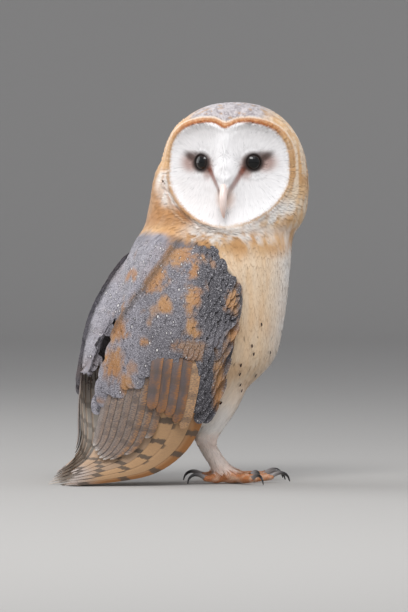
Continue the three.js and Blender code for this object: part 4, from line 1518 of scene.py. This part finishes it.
def paintGreater(k, at):
    c = flightColours
    places = at["points"].reshape(-1, 3) * np.array([1, 1, 0.5])
    grain = mottle(places, 2.6, 41 + k).reshape(at["along"].shape)
    centre = ramp01(at["across"] + 0.8 * (grain - 0.5), -0.75, -0.1) * (0.6 + 0.35 * ramp01(grain, 0.3, 0.55))
    brown = palette["grey"] * np.array([1.12, 1.0, 0.9])
    colour = mix(c["outer"] * 0.85, brown * (0.8 + 0.12 * (k % 3)), centre)
    colour = mix(colour, c["outer"], ramp01(at["along"] + 0.2 * (grain - 0.5), 0.8, 0.97) * 0.8)
    if k == 0:
        colour = mix(colour, c["buff"] * 1.2, 0.8)
    return colour, (at["mm"] / barPitch["greater"] + 0.13 * k, 0.45, 0.6)


def paintPrimaries(k, at):
    c = flightColours
    base = c["outer"] if k == 0 else c["buff"]
    colour = mix(base, c["buff"] * 1.05, ramp01(at["across"], -0.35, 0.1) * 0.5)
    if k > 2:
        colour = mix(colour, c["tertial"], 0.45)
    colour = mix(colour, c["tip"], ramp01(at["along"], 0.86, 0.98))
    # the outer vane of the second feather is plain
    strength = ramp01(at["across"], -0.1, 0.15) * 0.95 if k == 1 else 0.9
    pepper = 0.12 + 0.35 * ramp01(at["along"], 0.8, 1)
    faint, fainter = np.where(at["underside"], 0.4, 1), np.where(at["underside"], 0.2, 1)
    return colour, (at["mm"] / barPitch["primaries"] + 0.17 * k, strength * faint, pepper * fainter)


def paintSecondaries(k, at):
    c = flightColours
    rust = (0.8 if k < 3 else 0.25) * ramp01(-at["across"], -0.3, 0.7)
    colour = mix(c["tertial"], c["tertialRust"], rust)
    colour = mix(colour, c["under"], ramp01(at["along"], 0.93, 1.0) * 0.6)
    return colour, (at["mm"] / barPitch["secondaries"] + 0.31 * k, 0.55 if k < 4 else 0.3, 0.8)


for side, word in ((-1, "right"), (1, "left")):
    outerFeathers = [wingFeather(side, m, h, 0.42, e, 0.75 + 1.5 * m, 0.35) for m, h, e in primaries]
    flightFeathers(f"flight_primaries_{word}", outerFeathers, (6, 9, 9, 8, 8, 7, 7), 130, paintPrimaries,
                   f"wing_{word}_primaries", rows=30)
    innerFeathers = [wingFeather(side, m, h, 0.4, e, 4.2 + 2.0 * (m - 0.4), 0.5) for m, h, e in secondaries]
    flightFeathers(f"flight_secondaries_{word}", innerFeathers, 5, 80, paintSecondaries,
                   f"wing_{word}_secondaries")
    barredCoverts = [coverFeather(side, m, e) for m, e in greaterCoverts]
    flightFeathers(f"flight_greater_coverts_{word}", barredCoverts, 4.6, 54, paintGreater, None, rows=16)

# Tail, by place along it: x, z and half width.
tailTable = np.array([[0, -74, 52, 26], [0.2, -84, 32, 24], [0.4, -94, 15, 20], [0.6, -106, 4.6, 16],
                      [0.8, -119, 1, 15], [1, -133, -0.5, 14]])


def tailFeather(place, end):
    def surface(v, u, level):
        along = v * end
        x, z, half = (np.interp(along, tailTable[:, 0], tailTable[:, k]) for k in (1, 2, 3))
        aside = place * 0.88 + u * 0.13
        arch = 4 * (1 - np.clip(aside, -1, 1) ** 2) * (1 - 0.85 * along)
        thick = (3.4 - 1.6 * along) * (0.45 + 0.3 * (1 - abs(place))) + u * np.sign(place) * -0.25
        rise = (arch + thick + level * 0.8) * (1 - 0.2 * v)
        return np.stack([x, aside * half, z], -1) + np.array([0.55, 0, 0.84]) * rise[..., None]
    return surface


def paintTail(k, at):
    c = flightColours
    colour = mix(c["buff"] * 0.5 + c["tip"] * 0.5, c["under"], ramp01(at["along"], 0.95, 1) * 0.7)
    return colour, (at["mm"] / barPitch["tail"] + 0.1, 0.7, 0.5)


# The middle feathers lie on top, so they come last.
tailPlaces = np.linspace(-1, 1, 12)
tailOrder = tailPlaces[np.argsort(-np.abs(tailPlaces))]
flightFeathers("flight_tail", [tailFeather(p, 1 - 0.05 * p * p) for p in tailOrder], 6, 95, paintTail, "tail")


def smoothPath(path, count):
    # a curve through the path's points
    path = np.asarray(path, float)
    n = len(path)
    place = np.linspace(0, n - 1, count)
    i = np.minimum(place.astype(int), n - 2)
    u = (place - i)[:, None]
    before, here = path[np.maximum(i - 1, 0)], path[i]
    there, after = path[i + 1], path[np.minimum(i + 2, n - 1)]
    a, b = (there - before) / 2, (after - here) / 2
    return (2 * u ** 3 - 3 * u ** 2 + 1) * here + (u ** 3 - 2 * u ** 2 + u) * a \
        + (3 * u ** 2 - 2 * u ** 3) * there + (u ** 3 - u ** 2) * b


def tube(name, path, side, sizes, material, replaced, colours, columns, count, keel=0.0):
    # a smooth tapering rod; side is its sideways direction, sizes gives half its width and height
    line = smoothPath(path, count)
    ahead = unit(np.gradient(line, axis=0))
    side = unit(np.asarray(side, float) - ahead * (ahead @ np.asarray(side, float))[:, None])
    up = np.cross(side, ahead)
    turn = np.linspace(0, 2 * math.pi, columns + 1)
    sizes = np.array([sizes(t) for t in np.linspace(0, 1, count)])
    wide = np.cos(turn)[None, :] * sizes[:, :1] * (1 - keel * np.clip(np.sin(turn), 0, 1))[None, :]
    tall = np.sin(turn)[None, :] * sizes[:, 1:]
    points = (line[:, None] + side[:, None] * wide[..., None] + up[:, None] * tall[..., None]).reshape(-1, 3)
    points[:, 2] = np.maximum(points[:, 2], 0.0)
    obj = makeMesh(name, points, gridFaces(count, columns + 1), closed=True)
    share, around = np.repeat(np.linspace(0, 1, count), columns + 1), np.tile(turn, count)
    colour = mix(toLinear(colours["root"]), toLinear(colours["tip"]), ramp01(share, *colours["change"]))
    bakeMap = 0.02 + 0.96 * np.stack([around / (2 * math.pi), share], 1)
    vane = np.stack([around * 3, share * 5, share * 0], 1)
    dressPiece(obj, material, colour, bakeMap, {"vane": vane}, replaced)


eyeLook = {
    "ballRadius": 7.6,
    "forward": 23.1,               # of the ball's centre, from between the ears
    "aside": 16.6,
    "openingRadius": 5.4,
    "outward": 27.0,               # degrees that each eye looks away from straight ahead
    "downward": 2.0,
    "lidReach": 10.2,              # from the eye's axis to where the lid passes under the face
    "featherCount": 330,           # short ones round the opening
    "iris": "#1d120d",
    "pupil": "#030303",
    "margin": "#1e1411",
}
eyeMaterial = wetEye("wet_dark_eye")
lidMaterial = bareSkin("eyelid_skin")
eyeRings, eyeColumns = 26, 49
# The lid from its margin outwards: past the opening's radius, and above the edge of the eyeball.
lidSteps = (-0.1, 0.02, 0.3, 0.8, 1.6, 2.8, 3.8)
lidRise = np.array([-0.25, 0.25, 0.5, 0.35, 0.0, 0.0, 0.0, -0.3])


def discTone(local):
    return discColour(local[:, 1], local[:, 2], np.full(len(local), 0.5))


def eyeFrame(aside):
    # the eyeball's centre, where it looks, and the two ways across that
    e = eyeLook
    centre = np.array([e["forward"], aside * e["aside"], -headShape["eyeDrop"]])
    outward, down = math.radians(e["outward"]), math.radians(e["downward"])
    level = math.cos(down)
    axis = np.array([math.cos(outward) * level, aside * math.sin(outward) * level, -math.sin(down)])
    across = unit(np.cross([0, 0, 1], axis))
    return centre, axis, across, np.cross(axis, across)


def castAt(tree, start, way):
    # where a line first meets a surface within 40 mm, and the surface's way up there
    return tree.ray_cast(start, way, 40)[:2]


def buildEyeball(word, centre, axis, across, up):
    e = eyeLook
    polar = np.linspace(0.001, math.pi * 0.62, eyeRings)
    turn = np.linspace(0, 2 * math.pi, eyeColumns)
    # the cornea stands a little proud
    radius = e["ballRadius"] * (0.99 + 0.02 * np.exp(-(polar / 0.5) ** 2))
    spokes = np.cos(turn)[:, None] * across + np.sin(turn)[:, None] * up
    shape = np.sin(polar)[:, None, None] * spokes + np.cos(polar)[:, None, None] * axis
    shape = (centre + radius[:, None, None] * shape).reshape(-1, 3)
    ball = makeMesh(f"eyeball_{word}", fromHead(shape), gridFaces(eyeRings, eyeColumns), closed=True)
    iris = ramp01(np.repeat(polar, eyeColumns), 0.52, 0.62)
    spread = np.sin(polar / 1.3)[:, None]
    bakeMap = 0.5 + 0.48 * np.stack([spread * np.cos(turn), spread * np.sin(turn)], -1)
    dressPiece(ball, eyeMaterial, mix(toLinear(e["pupil"]), toLinear(e["iris"]), iris), bakeMap,
               replaced=f"eye_{word}")


def buildLid(word, centre, axis, across, up):
    # a soft margin round the opening, then skin that runs out under the feathers of the face
    e = eyeLook
    turn = np.linspace(0, 2 * math.pi, eyeColumns)
    spokes = np.cos(turn)[:, None] * across + np.sin(turn)[:, None] * up

    def skinHeight(spoke):
        start = fromHead(centre + spoke * e["lidReach"] + axis * 25)
        place = castAt(skinTree, start, fromHead(-axis) - headCentre)[0]
        return 2.0 if place is None else float((toHead(np.array(place)) - centre) @ axis)
    edge = np.array([skinHeight(spoke) for spoke in spokes[:-1]])
    edge = np.clip(np.append(edge, edge[0]), 0.5, 6.5)
    opening = e["openingRadius"]
    top = math.sqrt(e["ballRadius"] ** 2 - opening ** 2)
    reach = np.array([opening + step for step in lidSteps] + [e["lidReach"]])
    blend = ramp01(reach, opening + 0.3, e["lidReach"] - 0.6)
    height = (top + lidRise) * (1 - blend) + (edge[:, None] + lidRise) * blend
    shape = (centre + spokes[:, None] * reach[None, :, None] + axis * height[..., None]).reshape(-1, 3)
    faces = gridFaces(eyeColumns, len(reach), flipped=True)
    lid = makeMesh(f"eyelid_{word}", fromHead(shape), faces)
    margin = 1 - ramp01(np.tile(reach, eyeColumns), opening + 0.5, opening + 1.2)
    bakeMap = 0.02 + 0.96 * np.stack([np.repeat(turn / (2 * math.pi), len(reach)),
                                      np.tile(np.linspace(0, 1, len(reach)), eyeColumns)], 1)
    dressPiece(lid, lidMaterial, mix(discTone(shape), toLinear(e["margin"]), margin), bakeMap)
    return BVHTree.FromPolygons(shape.tolist(), faces.tolist())


def buildEye(word, aside):
    e = eyeLook
    centre, axis, across, up = eyeFrame(aside)
    buildEyeball(word, centre, axis, across, up)
    lidTree = buildLid(word, centre, axis, across, up)
    # short feathers round the opening, pointing away from it
    draw = np.random.default_rng(40 + aside)
    count = e["featherCount"]
    angle = draw.uniform(0, 2 * math.pi, count)
    root = np.sqrt(draw.uniform((e["openingRadius"] + 0.9) ** 2, (e["lidReach"] + 0.8) ** 2, count))
    length = draw.uniform(2.2, 3.6, count)

    def lay(share):
        # on the lid or the skin, whichever is further out
        places, ways = [], []
        for a, far in zip(angle, root + share * length):
            start = centre + (math.cos(a) * across + math.sin(a) * up) * far + axis * 25
            onLid, lidWay = castAt(lidTree, start, -axis)
            onSkin, skinWay = castAt(skinTree, fromHead(start), fromHead(-axis) - headCentre)
            skinPlace = None if onSkin is None else toHead(np.array(onSkin))
            if onLid is not None and (skinPlace is None or (np.array(onLid) - skinPlace) @ axis > 0):
                place, way = np.array(onLid), np.array(lidWay)
            elif skinPlace is not None:
                place, way = skinPlace, np.array(skinWay) @ headAxes.T
            else:
                place, way = start - axis * 22, axis
            places.append(place)
            ways.append(way if way @ axis > 0 else -way)
        return fromHead(np.array(places)), np.array(ways) @ headAxes
    spine, ways = zip(*[lay(share) for share in (0.0, 0.5, 1.0)])
    height = (np.full(count, 0.1), draw.uniform(0.4, 0.7, count))
    width = draw.uniform(0.7, 1.1, count)
    growFeathers(f"feathers_eye_ring_{word}", spine, ways, length, width, "lock", height, facial,
                 lambda vertices, owner: discTone(toHead(vertices)), faceUnwrap)


buildEye("right", -1)
buildEye("left", 1)
billLook = {
    "root": "#ecd9d1",
    "tip": "#dcbcb0",
    "change": (0.6, 1),            # where the one turns to the other
    "path": [(34, 0, -13), (41.5, 0, -19), (44.3, 0, -27), (43.6, 0, -35.5), (41.4, 0, -41)],
    "stops": (0, 0.35, 0.5, 0.65, 0.8, 0.92, 1),
    "halfWidths": (2.0, 2.5, 2.9, 2.4, 1.6, 0.9, 0.3),
    "halfHeights": (2.2, 3.0, 3.6, 3.2, 2.3, 1.3, 0.3),
    "keel": 0.25,
    "roughness": 0.38,
}


def billSize(t):
    b = billLook
    return np.interp(t, b["stops"], b["halfWidths"]), np.interp(t, b["stops"], b["halfHeights"])


billHorn = horn("bill_horn_ivory", billLook["roughness"])
tube("bill_smooth", fromHead(billLook["path"]), headAxes[1], billSize, billHorn, "bill",
     billLook, columns=24, count=36, keel=billLook["keel"])

# The few dark drops on each flank: place back from the breast, and height.
flankDrops = [(13, 101), (14.5, 95), (26, 96), (5, 87), (5, 81), (16.5, 80), (5, 73), (6, 68),
              (30, 86), (22, 72), (-8, 60), (34, 110), (20, 116)]


def flankSpots():
    # each is one short dark feather on top of the others
    roots = []
    for side in (-1, 1):
        for a, z in flankDrops:
            off = np.hypot(wingAcross(points) - a, points[:, 2] - z) + 40 * (points[:, 1] * side < 8)
            roots.append(off.argmin())
    count = len(roots)
    lie = wobbleLie(bodyLie(points[roots]), normals[roots], 4, rng)
    length = np.full(count, 2.6)
    spine, ways = followSkin(skinTree, points[roots], normals[roots], lie, length)
    height = (np.full(count, 1.7), np.full(count, 2.1))
    growFeathers("feathers_flank_spots", spine, ways, length, np.full(count, 1.7), "plume", height, downy,
                 lambda vertices, owner: np.broadcast_to(palette["smudge"], vertices.shape), bodyUnwrap)


flankSpots()

feet = {"right": (-10, -22, -1), "left": (9, 21, 1)}   # place, and which way its toes count outwards
toeLayout = {"hallux": (176, 25), "inner": (-34, 28), "middle": (5, 32), "outer": (82, 28)}   # angle, length
clawLook = {
    "root": "#8f8886",
    "tip": "#1d1a1b",
    "change": (0.2, 0.65),
    "path": [(-1.5, 4.6), (0, 5), (4.5, 6.9), (9, 6.8), (12.4, 4.4), (13.8, 0.8)],   # along the toe, and up
    "roughness": 0.32,
}
clawHorn = horn("claw_horn_black", clawLook["roughness"])


def clawSize(t):
    return 1.35 * (1 - t) ** 0.8 + 0.25, 1.8 * (1 - t) ** 0.8 + 0.3


for word, (footX, footY, outward) in feet.items():
    for toe, (angle, length) in toeLayout.items():
        turn = math.radians(angle * outward)
        ahead = np.array([math.cos(turn), math.sin(turn), 0])
        side = np.array([-ahead[1], ahead[0], 0])
        start = np.array([footX, footY, 0]) + ahead * (length - 2)
        path = [start + ahead * a + np.array([0, 0, z]) for a, z in clawLook["path"]]
        tube(f"claw_smooth_{word}_{toe}", path, side, clawSize, clawHorn, f"claw_{word}_{toe}",
             clawLook, columns=14, count=22)
print("eyes, bill and claws ready")
